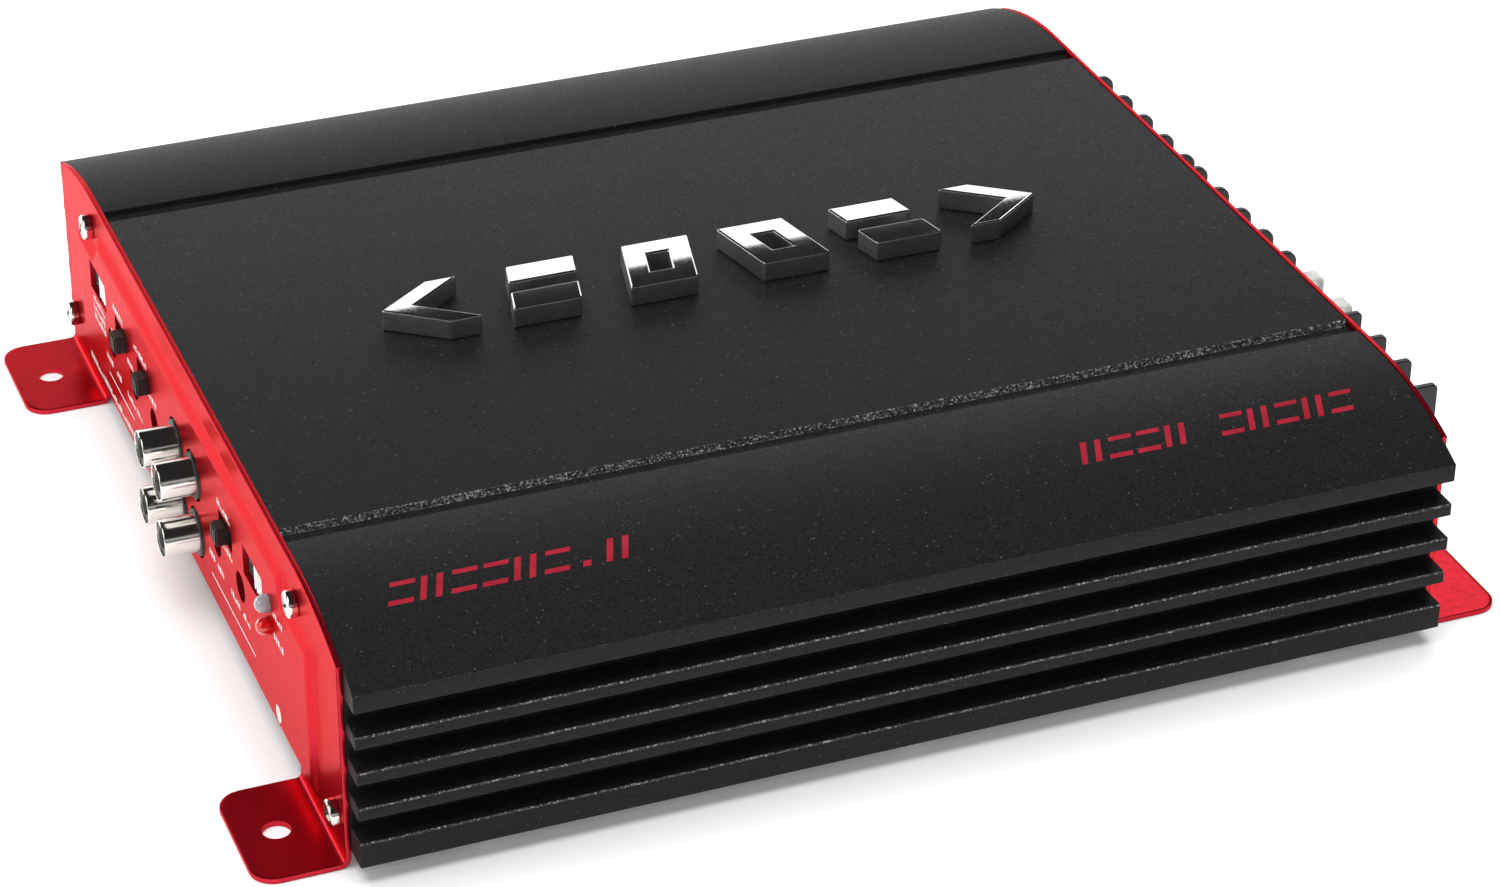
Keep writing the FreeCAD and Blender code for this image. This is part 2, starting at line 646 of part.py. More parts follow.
def switch_frames(kind, spots):
    """Sheet-metal cans behind the plate, each with a slot in front and room inside for the slider."""
    frames = []
    for y in spots.values():
        front, back = f"0 - {RAISED_INSIDE} + 0.1", f"0 - {CONTROL_BOARD}"
        can = centred_box(front, back, y, f"{kind}_height", f"{kind}_frame_long", f"{kind}_frame_tall")
        room = centred_box(f"{front} + frame_wall", f"{back} - frame_wall", y, f"{kind}_height",
                           f"{kind}_frame_long - 2 * frame_wall", f"{kind}_frame_tall - 2 * frame_wall")
        mouth = centred_box(f"{front} - 1", f"{front} + 1", y, f"{kind}_height",
                            f"{kind}_slot_long", f"{kind}_slot_tall - 0.4")
        frames.append(cut(can, room, mouth))
    return grouped(*frames)


def filter_lever(number):
    """A slider with a square stem, resting at its share of the travel from the middle of the slot."""
    y = f"({FILTER_SWITCHES[number]} + {FILTER_REST[number]} * filter_travel)"
    inside = f"0 - {RAISED_INSIDE} + 0.9"
    stem = centred_box(f"0 - {RAISED_FACE} - filter_reach", f"{inside} + 1", y, "filter_height",
                       "filter_stem", "filter_stem")
    slider = centred_box(inside, f"{inside} + filter_slider_deep", y, "filter_height",
                         "filter_slider_long", "filter_slider_tall")
    return fused(stem, slider)


def mode_lever(number):
    y = f"({MODE_SWITCHES[number]} + {MODE_REST} * mode_travel)"
    inside = f"0 - {RAISED_INSIDE} + 0.9"
    stem = centred_box(f"0 - {RAISED_FACE} + mode_recess", f"{inside} + 1", y, "mode_height",
                       "mode_stem_long", "mode_stem_tall")
    slider = centred_box(inside, f"{inside} + mode_slider_deep", y, "mode_height",
                         "mode_slider_long", "mode_slider_tall")
    return fused(stem, slider)


def trimmer_rotor(number):
    y = TRIMMERS[number]
    front = f"0 - {RAISED_FACE} + trimmer_recess"
    disc = rod((front, y, "trimmer_height"), "trimmer_rotor_radius", "4", X_AXIS)
    slots = [centred_box(front, f"{front} + trimmer_slot_deep", y, "trimmer_height", wide, tall)
             for wide, tall in (("trimmer_slot_wide", "4.2"), ("4.2", "trimmer_slot_wide"))]
    return cut(disc, *slots)


def trimmer_bodies():
    bodies = []
    for y in TRIMMERS.values():
        front = f"0 - {RAISED_INSIDE} + trimmer_body_front"
        block = centred_box(front, f"0 - {CONTROL_BOARD}", y, "trimmer_height", "trimmer_body", "trimmer_body")
        bore_end = f"0 - {RAISED_FACE} + trimmer_recess + 4"
        bore = rod((f"{front} - 1", y, "trimmer_height"), "trimmer_rotor_radius + turning_gap",
                   f"({bore_end}) - ({front} - 1) + turning_gap", X_AXIS)
        bodies.append(cut(block, bore))
    return grouped(*bodies)


def lamp(height):
    """A lamp whose round tip stands out of the plate."""
    tip = f"0 - {RAISED_FACE} - lamp_reach"
    stalk = rod((f"{tip} + lamp_radius", "lamp_across", height), "lamp_radius",
                f"({RAISED_FACE} + lamp_reach - lamp_radius - {CONTROL_BOARD})", X_AXIS)
    return fused(stalk, ball((f"{tip} + lamp_radius", "lamp_across", height), "lamp_radius"))


def control_board():
    """An upright board behind the signal plate, notched for the phono sockets."""
    body = new_body("control_board")
    sketch = new_sketch(body, "YZ_Plane", f"0 - {CONTROL_BOARD}")
    near, far = "phono_across - phono_body_size / 2 - 0.5", "phono_across + phono_body_size / 2 + 0.5"
    notch_top = "phono_height + phono_body_size / 2 + 0.4"
    add_loop(sketch, [("control_board_low", BOARD_TOP), (near, BOARD_TOP), (near, notch_top),
                      (far, notch_top), (far, BOARD_TOP), ("control_board_high", BOARD_TOP),
                      ("control_board_high", "control_board_top"), ("control_board_low", "control_board_top")])
    pad(body, sketch, "board_thick")
    return body


# --- terminal blocks -------------------------------------------------------------------------------------

def block_width(kind):
    return f"({kind}_pitch * {kind}_ways + {kind}_rib)"


def bay_spots(kind, middle):
    ways = int(value(f"{kind}_ways"))
    return [f"({middle} + {way - (ways - 1) / 2} * {kind}_pitch)" for way in range(ways)]


def terminal_height():
    return "(block_top - block_tall / 2)"


def block_housing(middle, wide):
    """Three boxes: a foot on the board, a neck, and a taller front that fills the window."""
    back, roof = f"{END} - block_foot_deep", "block_top - block_step"
    low = "block_top - block_tall"
    foot = centred_box(back, f"{END} - 1.5", middle, f"({BOARD_TOP} + {roof}) / 2", wide,
                       f"{roof} - {BOARD_TOP}")
    neck = centred_box(back, f"{END} + 0.2", middle, f"({low} + {roof}) / 2", wide, f"{roof} - ({low})")
    front = centred_box(f"{END} + 0.1", f"{RAISED_FACE} + block_proud", middle, terminal_height(), wide,
                        "block_tall")
    return foot, neck, front


def terminal_block(kind, middle):
    """A moulded block that comes out through its window, with a rib beside each way."""
    face = f"{RAISED_FACE} + block_proud"
    housing = block_housing(middle, block_width(kind))
    ribs = [terminal_rib(kind, f"({middle} + {rib - value(f'{kind}_ways') / 2} * {kind}_pitch)", face)
            for rib in range(int(value(f"{kind}_ways")) + 1)]
    bores = [rod((f"{face} - terminal_grip", y, terminal_height()), "terminal_shank + turning_gap",
                 "terminal_grip + 1", X_AXIS) for y in bay_spots(kind, middle)]
    return cut(fused(*housing, *ribs), *bores)


def terminal_rib(kind, y, face):
    """A dividing rib whose outer top and bottom corners are round."""
    tip = f"{RAISED_FACE} + {kind}_reach"
    full = centred_box(f"{face} - 1", f"{tip} - rib_round", y, terminal_height(), f"{kind}_rib", "block_tall")
    nose = centred_box(f"{tip} - rib_round - 1", tip, y, terminal_height(), f"{kind}_rib",
                       "block_tall - 2 * rib_round")
    rounds = [rod((f"{tip} - rib_round", f"{y} - {kind}_rib / 2", f"{terminal_height()} + {side} * "
                   f"(block_tall / 2 - rib_round)"), "rib_round", f"{kind}_rib", Y_AXIS) for side in (-1, 1)]
    return fused(full, nose, *rounds)


def terminal_plates():
    """The square plated clamps that the terminal screws press on."""
    plates = []
    spots = [y for middle in SPEAKER_BLOCKS.values() for y in bay_spots("speaker", middle)]
    for y in spots + bay_spots("power", POWER_BLOCK):
        face = f"{RAISED_FACE} + block_proud"
        plate = centred_box(face, f"{face} + terminal_plate_thick", y, terminal_height(),
                            "terminal_plate", "terminal_plate")
        hole = rod((f"{face} - 1", y, terminal_height()), "terminal_shank + turning_gap", "4", X_AXIS)
        plates.append(cut(plate, hole))
    return grouped(*plates)


def terminal_screw(y):
    seat = f"{RAISED_FACE} + block_proud + terminal_plate_thick"
    head = rod((seat, y, terminal_height()), "terminal_head_radius", "terminal_head_height", X_AXIS)
    shaft = rod((f"{seat} - terminal_grip", y, terminal_height()), "terminal_shank", "terminal_grip + 1", X_AXIS)
    top = f"{seat} + terminal_head_height"
    bars = [centred_box(f"{top} - recess_deep", f"{top} + 1", y, terminal_height(), wide, tall)
            for wide, tall in (("recess_span", "recess_wide"), ("recess_wide", "recess_span"))]
    return cut(fused(head, shaft), *bars)


# --- fuses -----------------------------------------------------------------------------------------------

def fuse_spots():
    return {1: "(holder_across + fuse_spacing / 2)", 2: "(holder_across - fuse_spacing / 2)"}


def fuse(number):
    """A blade fuse: a moulded body with a wide head and two flat blades."""
    y = fuse_spots()[number]
    seat = f"{RAISED_FACE} + block_proud"
    tip = f"{RAISED_FACE} + fuse_reach"
    head = centred_box(f"{tip} - fuse_shoulder", tip, y, "fuse_height", "fuse_thick", "fuse_wide")
    neck = centred_box(seat, f"{tip} - fuse_shoulder", y, "fuse_height", "fuse_thick - 1", "fuse_neck")
    blades = [centred_box(f"{seat} - blade_long", f"{seat} + 1", y, f"fuse_height + {side} * blade_spacing / 2",
                          "blade_thick", "blade_wide") for side in (-1, 1)]
    return fused(head, neck, *blades)


def fuse_holder():
    face = f"{RAISED_FACE} + block_proud"
    slots = [centred_box(f"{face} - blade_long - 1", f"{face} + 1", y,
                         f"fuse_height + {side} * blade_spacing / 2",
                         "blade_thick + 2 * blade_room", "blade_wide + 2 * blade_room")
             for y in fuse_spots().values() for side in (-1, 1)]
    return cut(fused(*block_housing("holder_across", "holder_long")), *slots)


# --- boards and what stands on them ----------------------------------------------------------------------

def main_board():
    return box(("0 - board_length / 2", "0 - board_width / 2", "board_lift"),
               ("board_length", "board_width", "board_thick"))


def board_standoffs():
    spots = [(x, y) for x in (-95, 0, 95) for y in (-80, 80)]
    return grouped(*[rod((x, y, COVER_TOP), "standoff_radius", f"board_lift - {COVER_TOP}") for x, y in spots])


def ring(outer, inner, low, tall):
    spot = ("core_spot", "core_across", low)
    return cut(rod(spot, outer, tall), rod(spot, inner, tall))


def ring_core():
    return ring("core_outer", "core_inner", f"{BOARD_TOP} + winding_wall", "core_tall")


def ring_winding():
    """Copper wound round the core, open over a narrow sector where the leads come out."""
    spot = ("core_spot", "core_across", BOARD_TOP)
    tall = "core_tall + 2 * winding_wall"
    hull = rod(spot, "core_outer + winding_wall", tall)
    hull.setExpression("Angle", bound("winding_turn"))
    eye = rod(spot, "core_inner - winding_wall", tall)
    core = ring("core_outer", "core_inner", f"{BOARD_TOP} + winding_wall", "core_tall")
    return cut(hull, eye, core)


def supply_capacitors():
    cans = []
    for x, y in BOARD_SPOTS["supply_capacitors"]:
        can = rod((x, y, BOARD_TOP), "capacitor_radius", "capacitor_tall")
        waist = cut(rod((x, y, f"{BOARD_TOP} + 2"), "capacitor_radius + 1", "1"),
                    rod((x, y, f"{BOARD_TOP} + 2"), "capacitor_radius - capacitor_groove", "1"))
        cans.append(cut(can, waist))
    return grouped(*cans)


def output_chokes():
    return grouped(*[cut(rod((x, y, BOARD_TOP), "choke_radius", "choke_tall"),
                         rod((x, y, BOARD_TOP), "choke_hole", "choke_tall"))
                     for x, y in BOARD_SPOTS["output_chokes"]])


def device_spots():
    return [f"({step} * device_pitch)" for step in (-2.5, -1.5, -0.5, 0.5, 1.5, 2.5)]


def wall_box(side, x, wide, near, far, low, tall):
    """A box beside a side wall; near and far count inward from the wall's inner face."""
    y_near, y_far = f"({INNER_WALL} - ({near}))", f"({INNER_WALL} - ({far}))"
    low_y = f"0 - {y_near}" if side < 0 else y_far
    return box((f"{x} - ({wide}) / 2", low_y, low), (wide, f"({far}) - ({near})", tall))


def transistors(side):
    """A row of power transistors against a side wall, each with three bent legs down to the board."""
    devices = []
    back = "(pad_thick + device_deep)"
    for x in device_spots():
        case = wall_box(side, x, "device_wide", "pad_thick", back, "device_low", "device_tall")
        tab = wall_box(side, x, "device_wide", "pad_thick", "pad_thick + device_tab_deep",
                       "device_low + device_tall", "device_tab_tall")
        legs = []
        for step in (-1, 0, 1):
            leg_x = f"{x} + {step} * 2.54"
            legs.append(wall_box(side, leg_x, "leg_wide", f"{back} - 1", f"{back} + leg_reach",
                                 "device_low + 0.6", "leg_wide"))
            legs.append(wall_box(side, leg_x, "leg_wide", f"{back} + leg_reach - leg_wide",
                                 f"{back} + leg_reach", BOARD_TOP, f"device_low + 0.6 - {BOARD_TOP}"))
        devices.append(fused(case, tab, *legs))
    return grouped(*devices)


def thermal_pads():
    return grouped(*[wall_box(side, "0", "bar_long", "0", "pad_thick", "device_low - 1", "device_tall + 5")
                     for side in (-1, 1)])


def clamp_bars():
    bars = []
    for side in (-1, 1):
        near = "(pad_thick + device_deep)"
        bar = wall_box(side, "0", "bar_long", near, f"{near} + bar_deep", "bar_low", "bar_tall")
        holes = [rod((x, f"{side} * ({INNER_WALL} - {near} - bar_deep - 1)", "bar_low + bar_tall / 2"),
                     "shank_radius + 0.2", "bar_deep + 2", Y_AXIS * side) for x in clamp_spots()]
        bars.append(cut(bar, *holes))
    return grouped(*bars)


def clamp_spots():
    return [f"({step} * device_pitch)" for step in (-2, 0, 2)]


def clamp_screws():
    """Screws through the clamp bars, whose ends stop just short of the thermal pads."""
    screws = []
    for side in (-1, 1):
        seat_y = f"{side} * ({INNER_WALL} - pad_thick - device_deep - bar_deep)"
        for x in clamp_spots():
            screws.append(pan_screw((x, seat_y, "bar_low + bar_tall / 2"), Y_AXIS * -side,
                                    "(bar_deep + device_deep - 0.1)"))
    return grouped(*screws)


# --- the whole amplifier ---------------------------------------------------------------------------------

def build_all():
    nodes = {
        "heatsink": heatsink(),
        "bottom_cover": bottom_cover(),
        "bottom_cover_screws": bottom_cover_screws(),
        "signal_end_plate": end_plate("signal_end_plate", -1, signal_openings()),
        "power_end_plate": end_plate("power_end_plate", 1, power_openings()),
        "signal_plate_screws": plate_screws(-1),
        "power_plate_screws": plate_screws(1),
        "badge": badge(),
        "phono_housing": phono_housing(),
        "phono_insulators": phono_insulators(),
        "phono_contacts": phono_contacts(),
        "filter_switch_frames": switch_frames("filter", FILTER_SWITCHES),
        "mode_switch_frames": switch_frames("mode", MODE_SWITCHES),
        "trimmer_bodies": trimmer_bodies(),
        "power_lamp": lamp("lamp_high"),
        "fault_lamp": lamp("lamp_low"),
        "control_board": control_board(),
        "power_block": terminal_block("power", POWER_BLOCK),
        "terminal_plates": terminal_plates(),
        "fuse_holder": fuse_holder(),
        "main_board": main_board(),
        "board_standoffs": board_standoffs(),
        "ring_core": ring_core(),
        "ring_winding": ring_winding(),
        "supply_capacitors": supply_capacitors(),
        "output_chokes": output_chokes(),
        "front_transistors": transistors(-1),
        "back_transistors": transistors(1),
        "thermal_pads": thermal_pads(),
        "clamp_bars": clamp_bars(),
        "clamp_screws": clamp_screws(),
    }
    for number in phono_spots():
        nodes[f"phono_shell_{number}"] = phono_shell(number)
    for number in FILTER_SWITCHES:
        nodes[f"filter_lever_{number}"] = filter_lever(number)
    for number in MODE_SWITCHES:
        nodes[f"mode_lever_{number}"] = mode_lever(number)
    for number in TRIMMERS:
        nodes[f"trimmer_rotor_{number}"] = trimmer_rotor(number)
    for number, middle in SPEAKER_BLOCKS.items():
        nodes[f"speaker_block_{number}"] = terminal_block("speaker", middle)
    for number in fuse_spots():
        nodes[f"fuse_{number}"] = fuse(number)
    bays = [y for middle in SPEAKER_BLOCKS.values() for y in bay_spots("speaker", middle)]
    for number, y in enumerate(bays, start=1):
        nodes[f"speaker_screw_{number}"] = terminal_screw(y)
    for number, y in enumerate(bay_spots("power", POWER_BLOCK), start=1):
        nodes[f"power_screw_{number}"] = terminal_screw(y)
    return nodes


def check(nodes):
    for item in doc.Objects:
        if {"Invalid", "Error"} & set(item.State):
            raise SystemExit(f"{item.Label} is {item.State}")
    for name, item in nodes.items():
        if item.Shape.isNull() or not item.Shape.isValid() or not item.Shape.Solids:
            raise SystemExit(f"{name} has no valid solid")


def export(nodes):
    os.makedirs("parts", exist_ok=True)
    for name, item in nodes.items():
        item.Shape.exportStep(f"parts/{name}.step")
        bounds = item.Shape.BoundBox
        print(f"{name}: {len(item.Shape.Solids)} solids, volume {item.Shape.Volume:.1f}, "
              f"X {bounds.XMin:.2f} {bounds.XMax:.2f}, Y {bounds.YMin:.2f} {bounds.YMax:.2f}, "
              f"Z {bounds.ZMin:.2f} {bounds.ZMax:.2f}")


amplifier = build_all()
for label, feature in amplifier.items():
    feature.Label = label
doc.recompute()
check(amplifier)
export(amplifier)
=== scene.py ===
import json
import math
import random

import bmesh
import bpy
import numpy as np
from mathutils import Matrix, Vector


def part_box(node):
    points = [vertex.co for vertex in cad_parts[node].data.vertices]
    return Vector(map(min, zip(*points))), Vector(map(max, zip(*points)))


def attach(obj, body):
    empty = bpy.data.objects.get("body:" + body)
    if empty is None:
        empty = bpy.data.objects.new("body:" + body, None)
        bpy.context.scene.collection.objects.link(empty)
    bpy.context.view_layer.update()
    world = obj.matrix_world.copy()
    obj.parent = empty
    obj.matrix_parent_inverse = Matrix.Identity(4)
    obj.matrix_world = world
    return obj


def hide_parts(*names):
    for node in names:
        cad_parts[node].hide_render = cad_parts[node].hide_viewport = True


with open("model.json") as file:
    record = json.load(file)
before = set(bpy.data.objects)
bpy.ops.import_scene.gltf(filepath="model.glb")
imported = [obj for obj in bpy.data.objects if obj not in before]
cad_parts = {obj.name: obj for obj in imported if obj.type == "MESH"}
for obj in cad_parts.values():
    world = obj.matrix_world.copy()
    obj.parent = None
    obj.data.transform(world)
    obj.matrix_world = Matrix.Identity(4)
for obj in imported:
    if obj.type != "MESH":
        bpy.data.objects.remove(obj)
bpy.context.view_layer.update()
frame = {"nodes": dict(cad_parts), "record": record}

# Four-channel car amplifier. Sizes are in millimetres in the CAD frame and become metres in place_mesh().
MM = 0.001
HOME = "housing"

# housing
LENGTH, WIDTH, TOP, BOTTOM = 235.0, 232.0, 52.5, 4.0
SHOULDER_RADIUS, FLAT_HALF = 78.3, 80.5
FIN_DEPTH, FIN_PITCH, FIN_GAP, BOTTOM_FIN, FIN_GAPS = 6.5, 8.25, 5.25, 5.9, 4
# the last is the width of the band along each fin's rounded upper edge that gets the painted sparkle
SIDE_WALL, ROOF, ROOF_DROP, ROOF_CUT, LIP_PAINTED_SPARKLE = 4.0, 5.0, 10.0, 16.0, 0.9
GROOVE_INNER, GROOVE_FOOT, GROOVE_OUTER, GROOVE_DEPTH = 67.6, 68.0, 72.5, 1.45
END = LENGTH / 2

# end plates
SHEET, RAISE, PLATE_HALF, PLATE_FOOT = 1.2, 1.2, 109.5, 4.5
FACE, RAISED_FACE = END + SHEET, END + SHEET + RAISE
TAB_REACH, TAB_INNER, TAB_CORNER, BEND = 18.0, 78.8, 5.0, 1.2
TAB_HOLE_X, TAB_HOLE_Y, TAB_HOLE_RADIUS, SCREW_HOLE = FACE + 9.5, 94.15, 2.9, 2.1
EMBOSS_SOFTNESS, OPENING_CORNER, PLATE_RIM = 3.2, 0.3, 0.22
SIGNAL_SCREWS = [(side * y, z) for y, z in ((81.9, 44.5), (104.7, 10.4)) for side in (-1, 1)]
POWER_SCREWS = [(side * y, z) for y, z in ((94.5, 44.6), (104.7, 10.4)) for side in (-1, 1)]
COVER_SCREW_X, COVER_SCREW_Y, COVER_SCREW_SCALE = 90, 110, 0.66

# signal panel
FILTER_SLOTS, FILTER_HEIGHT, FILTER_LONG, FILTER_TALL = (53.0, 33.7, -33.1), 32.0, 10.0, 5.2
MODE_SLOTS, MODE_HEIGHT, MODE_LONG, MODE_TALL = (73.4, -53.7), 33.8, 14.2, 7.0
TRIMMER_SPOTS, TRIMMER_HEIGHT, TRIMMER_HOLE = (62.9, 42.9, 25.7, -25.0, -43.2), 24.8, 3.35
PHONO_SPOTS = {1: (6.1, 31.0), 2: (-7.9, 31.0), 3: (6.1, 17.0), 4: (-7.9, 17.0)}
PHONO_RADIUS, PHONO_HOLE, PHONO_TIP, PHONO_SEAT = 4.15, 5.7, RAISED_FACE + 8.0, 6.0
PHONO_LONG = PHONO_TIP - RAISED_FACE + PHONO_SEAT
LAMP_Y, LAMP_HEIGHTS, LAMP_RADIUS = -65.1, (34.4, 29.2), 1.95

# power panel
SPEAKER_BLOCKS, SPEAKER_PITCH, SPEAKER_RIB, SPEAKER_REACH = (49.7, -0.55), 10.9, 1.5, 10.2
POWER_BLOCK, POWER_PITCH, POWER_RIB, POWER_REACH = -68.7, 11.0, 1.5, 10.4
BLOCK_LOW, BLOCK_TOP, BLOCK_PROUD, BLOCK_ROOF = 22.2, 43.9, 1.2, 39.6
SPEAKER_NOSE, POWER_NOSE, CLAMP_WIDE, CLAMP_THICK = 2.6, 1.2, 8.2, 1.0
HOLDER_Y, HOLDER_LONG = -39.3, 20.0
BLOCK_FACE = RAISED_FACE + BLOCK_PROUD
BLOCK_MIDDLE = (BLOCK_LOW + BLOCK_TOP) / 2

# shoulder print
PRINT_LOW, PRINT_HIGH, PRINT_LIFT, PRINT_LEAN = -98.3, -92.2, 0.02, 2.2
PRINT_PITCH, PRINT_WIDE, PRINT_STARTS = 6.3, 5.1, (-104.8, 41.0)

# badge
BADGE_PITCH, BADGE_WIDTH, BADGE_DEPTH, BADGE_HEIGHT = 26.3, 19.6, 18.1, 4.9
BADGE_SLANT, BADGE_BAR = 4.2, 5.2


# --- mesh building: a part is (points in mm, faces) ------------------------------------------------------

def block(low, high):
    (x0, y0, z0), (x1, y1, z1) = low, high
    points = [(x, y, z) for x in (x0, x1) for y in (y0, y1) for z in (z0, z1)]
    faces = [(0, 1, 3, 2), (4, 6, 7, 5), (0, 4, 5, 1), (2, 3, 7, 6), (0, 2, 6, 4), (1, 5, 7, 3)]
    return points, faces


def prism(outline, start, end, axis):
    """A solid between two stations along an axis. outline holds the two other coordinates, in order."""
    def at(u, v, w):
        return {"x": (w, u, v), "y": (u, w, v), "z": (u, v, w)}[axis]

    count = len(outline)
    points = [at(u, v, start) for u, v in outline] + [at(u, v, end) for u, v in outline]
    faces = [tuple(range(count - 1, -1, -1)), tuple(range(count, 2 * count))]
    faces += [(i, (i + 1) % count, count + (i + 1) % count, count + i) for i in range(count)]
    return points, faces


def lathe(profile, steps=48):
    """A solid turned about +Z from (radius, height) points. Ends off the axis are closed by a flat face."""
    points, faces, rings = [], [], []
    for radius, height in profile:
        if radius < 1e-6:
            rings.append([len(points)] * steps)
            points.append((0, 0, height))
            continue
        rings.append(list(range(len(points), len(points) + steps)))
        for step in range(steps):
            angle = 2 * math.pi * step / steps
            points.append((radius * math.cos(angle), radius * math.sin(angle), height))
    for low, high in zip(rings, rings[1:]):
        for i in range(steps):
            j = (i + 1) % steps
            corners = [low[i], low[j], high[j], high[i]]
            face = tuple(dict.fromkeys(corners))
            if len(face) > 2:
                faces.append(face)
    if profile[0][0] > 1e-6 and profile[0] != profile[-1]:
        faces.append(tuple(reversed(rings[0])))
        faces.append(tuple(rings[-1]))
    return points, faces


def moved(part, spot, direction=(0, 0, 1), turn=0.0, scale=1.0):
    """Takes a part built about +Z to a place and direction."""
    rotation = Vector(direction).to_track_quat("Z", "Y").to_matrix() @ Matrix.Rotation(turn, 3, "Z")
    points = [tuple(rotation @ (Vector(p) * scale) + Vector(spot)) for p in part[0]]
    return points, part[1]


def rounded(corners, steps=4):
    """A closed outline with round corners, from (u, v, radius) corners."""
    outline = []
    count = len(corners)
    for i, (u, v, radius) in enumerate(corners):
        here = Vector((u, v))
        if radius <= 0:
            outline.append((u, v))
            continue
        before = Vector(corners[i - 1][:2]) - here
        after = Vector(corners[(i + 1) % count][:2]) - here
        half = before.angle(after) / 2
        reach = min(radius / math.tan(half), 0.48 * before.length, 0.48 * after.length)
        bisector = (before.normalized() + after.normalized()).normalized()
        centre = here + bisector * reach / math.cos(half)
        first, last = here + before.normalized() * reach, here + after.normalized() * reach
        start = math.atan2(*(first - centre).yx)
        sweep = math.atan2(*(last - centre).yx) - start
        sweep = (sweep + math.pi) % (2 * math.pi) - math.pi
        size = (first - centre).length
        for step in range(steps + 1):
            angle = start + sweep * step / steps
            outline.append((centre.x + size * math.cos(angle), centre.y + size * math.sin(angle)))
    return outline


def rectangle(u, v, wide, tall, radius=0.0):
    return rounded([(u - wide / 2, v - tall / 2, radius), (u + wide / 2, v - tall / 2, radius),
                    (u + wide / 2, v + tall / 2, radius), (u - wide / 2, v + tall / 2, radius)])


def place_mesh(name, parts, material):
    """Joins parts into one mesh object, in metres, with its faces looking outward."""
    points, faces = [], []
    for part_points, part_faces in parts:
        start = len(points)
        points += [(x * MM, y * MM, z * MM) for x, y, z in part_points]
        faces += [tuple(start + i for i in face) for face in part_faces]
    mesh = bpy.data.meshes.new(name)
    mesh.from_pydata(points, [], faces)
    work = bmesh.new()
    work.from_mesh(mesh)
    bmesh.ops.recalc_face_normals(work, faces=work.faces)
    work.to_mesh(mesh)
    work.free()
    mesh.materials.append(material)
    obj = bpy.data.objects.new(name, mesh)
    bpy.context.scene.collection.objects.link(obj)
    return obj


def settle(obj):
    """Applies the object's modifiers to its mesh."""
    shown = obj.evaluated_get(bpy.context.evaluated_depsgraph_get())
    mesh = bpy.data.meshes.new_from_object(shown)
    obj.modifiers.clear()
    obj.data = mesh


def soften(obj, width, segments=3, angle=30):
    """Rounds the sharp edges and keeps the flat faces flat to the light."""
    obj.data.shade_smooth()
    bevel = obj.modifiers.new("rounding", "BEVEL")
    bevel.width = width * MM
    bevel.segments = segments
    bevel.limit_method = "ANGLE"
    bevel.angle_limit = math.radians(angle)
    bevel.harden_normals = True
    bevel.use_clamp_overlap = True
    settle(obj)


def smooth_by_angle(obj, angle=35):
    obj.data.shade_smooth()
    obj.data.set_sharp_from_angle(angle=math.radians(angle))


def carve(obj, parts):
    """Cuts parts out of a piece."""
    cutter = place_mesh("cutter", parts, obj.data.materials[0])
    boolean = obj.modifiers.new("openings", "BOOLEAN")
    boolean.operation = "DIFFERENCE"
    boolean.solver = "EXACT"
    boolean.object = cutter
    bpy.context.view_layer.update()
    settle(obj)
    bpy.data.objects.remove(cutter)


def keep(obj, slot, *nodes, body=HOME):
    """Ties a finished piece to its body and hides the CAD nodes that it stands for. Its slot is not used."""
    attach(obj, body)
    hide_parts(*nodes)
    return obj


# --- materials -------------------------------------------------------------------------------------------

class Nodes:
    """A new material's shader, with noise that can feed its colour, roughness and bump."""

    def __init__(self, name, **settings):
        self.material = bpy.data.materials.new(name)
        self.material.use_nodes = True
        self.tree = self.material.node_tree
        self.shader = self.tree.nodes["Principled BSDF"]
        self.place = self.tree.nodes.new("ShaderNodeTexCoord").outputs["Object"]
        for socket, setting in settings.items():
            self.shader.inputs[socket.replace("_", " ")].default_value = setting

    def link(self, source, target):
        self.tree.links.new(source, target)

    def noise(self, size, detail=3.0, stretch=(1, 1, 1)):
        """Noise whose features are about size mm across."""
        mapping = self.tree.nodes.new("ShaderNodeMapping")
        mapping.inputs["Scale"].default_value = stretch
        texture = self.tree.nodes.new("ShaderNodeTexNoise")
        texture.inputs["Scale"].default_value = 1 / (size * MM)
        texture.inputs["Detail"].default_value = detail
        self.link(self.place, mapping.inputs["Vector"])
        self.link(mapping.outputs["Vector"], texture.inputs["Vector"])
        return texture.outputs["Fac"]

    def flakes(self, size):
        """One random number from 0 to 1 for each cell about size mm across."""
        texture = self.tree.nodes.new("ShaderNodeTexVoronoi")
        texture.inputs["Scale"].default_value = 1 / (size * MM)
        self.link(self.place, texture.inputs["Vector"])
        split = self.tree.nodes.new("ShaderNodeSeparateColor")
        self.link(texture.outputs["Color"], split.inputs["Color"])
        return split.outputs["Red"]

    def ramp(self, source, stops):
        """Values or colours along a source, from (position, value) stops."""
        ramp = self.tree.nodes.new("ShaderNodeValToRGB")
        elements = ramp.color_ramp.elements
        while len(elements) < len(stops):
            elements.new(0.5)
        for element, (position, colour) in zip(elements, stops):
            element.position = position
            element.color = colour if hasattr(colour, "__len__") else (colour, colour, colour, 1)
        self.link(source, ramp.inputs["Fac"])
        return ramp.outputs["Color"]

    def colour(self, source):
        self.link(source, self.shader.inputs["Base Color"])

    def roughness(self, source):
        self.link(source, self.shader.inputs["Roughness"])

    def bump(self, source, height, strength=1.0):
        bump = self.tree.nodes.new("ShaderNodeBump")
        bump.inputs["Distance"].default_value = height * MM
        bump.inputs["Strength"].default_value = strength
        self.link(source, bump.inputs["Height"])
        self.link(bump.outputs["Normal"], self.shader.inputs["Normal"])


def grey(level):
    return (level, level, level, 1)


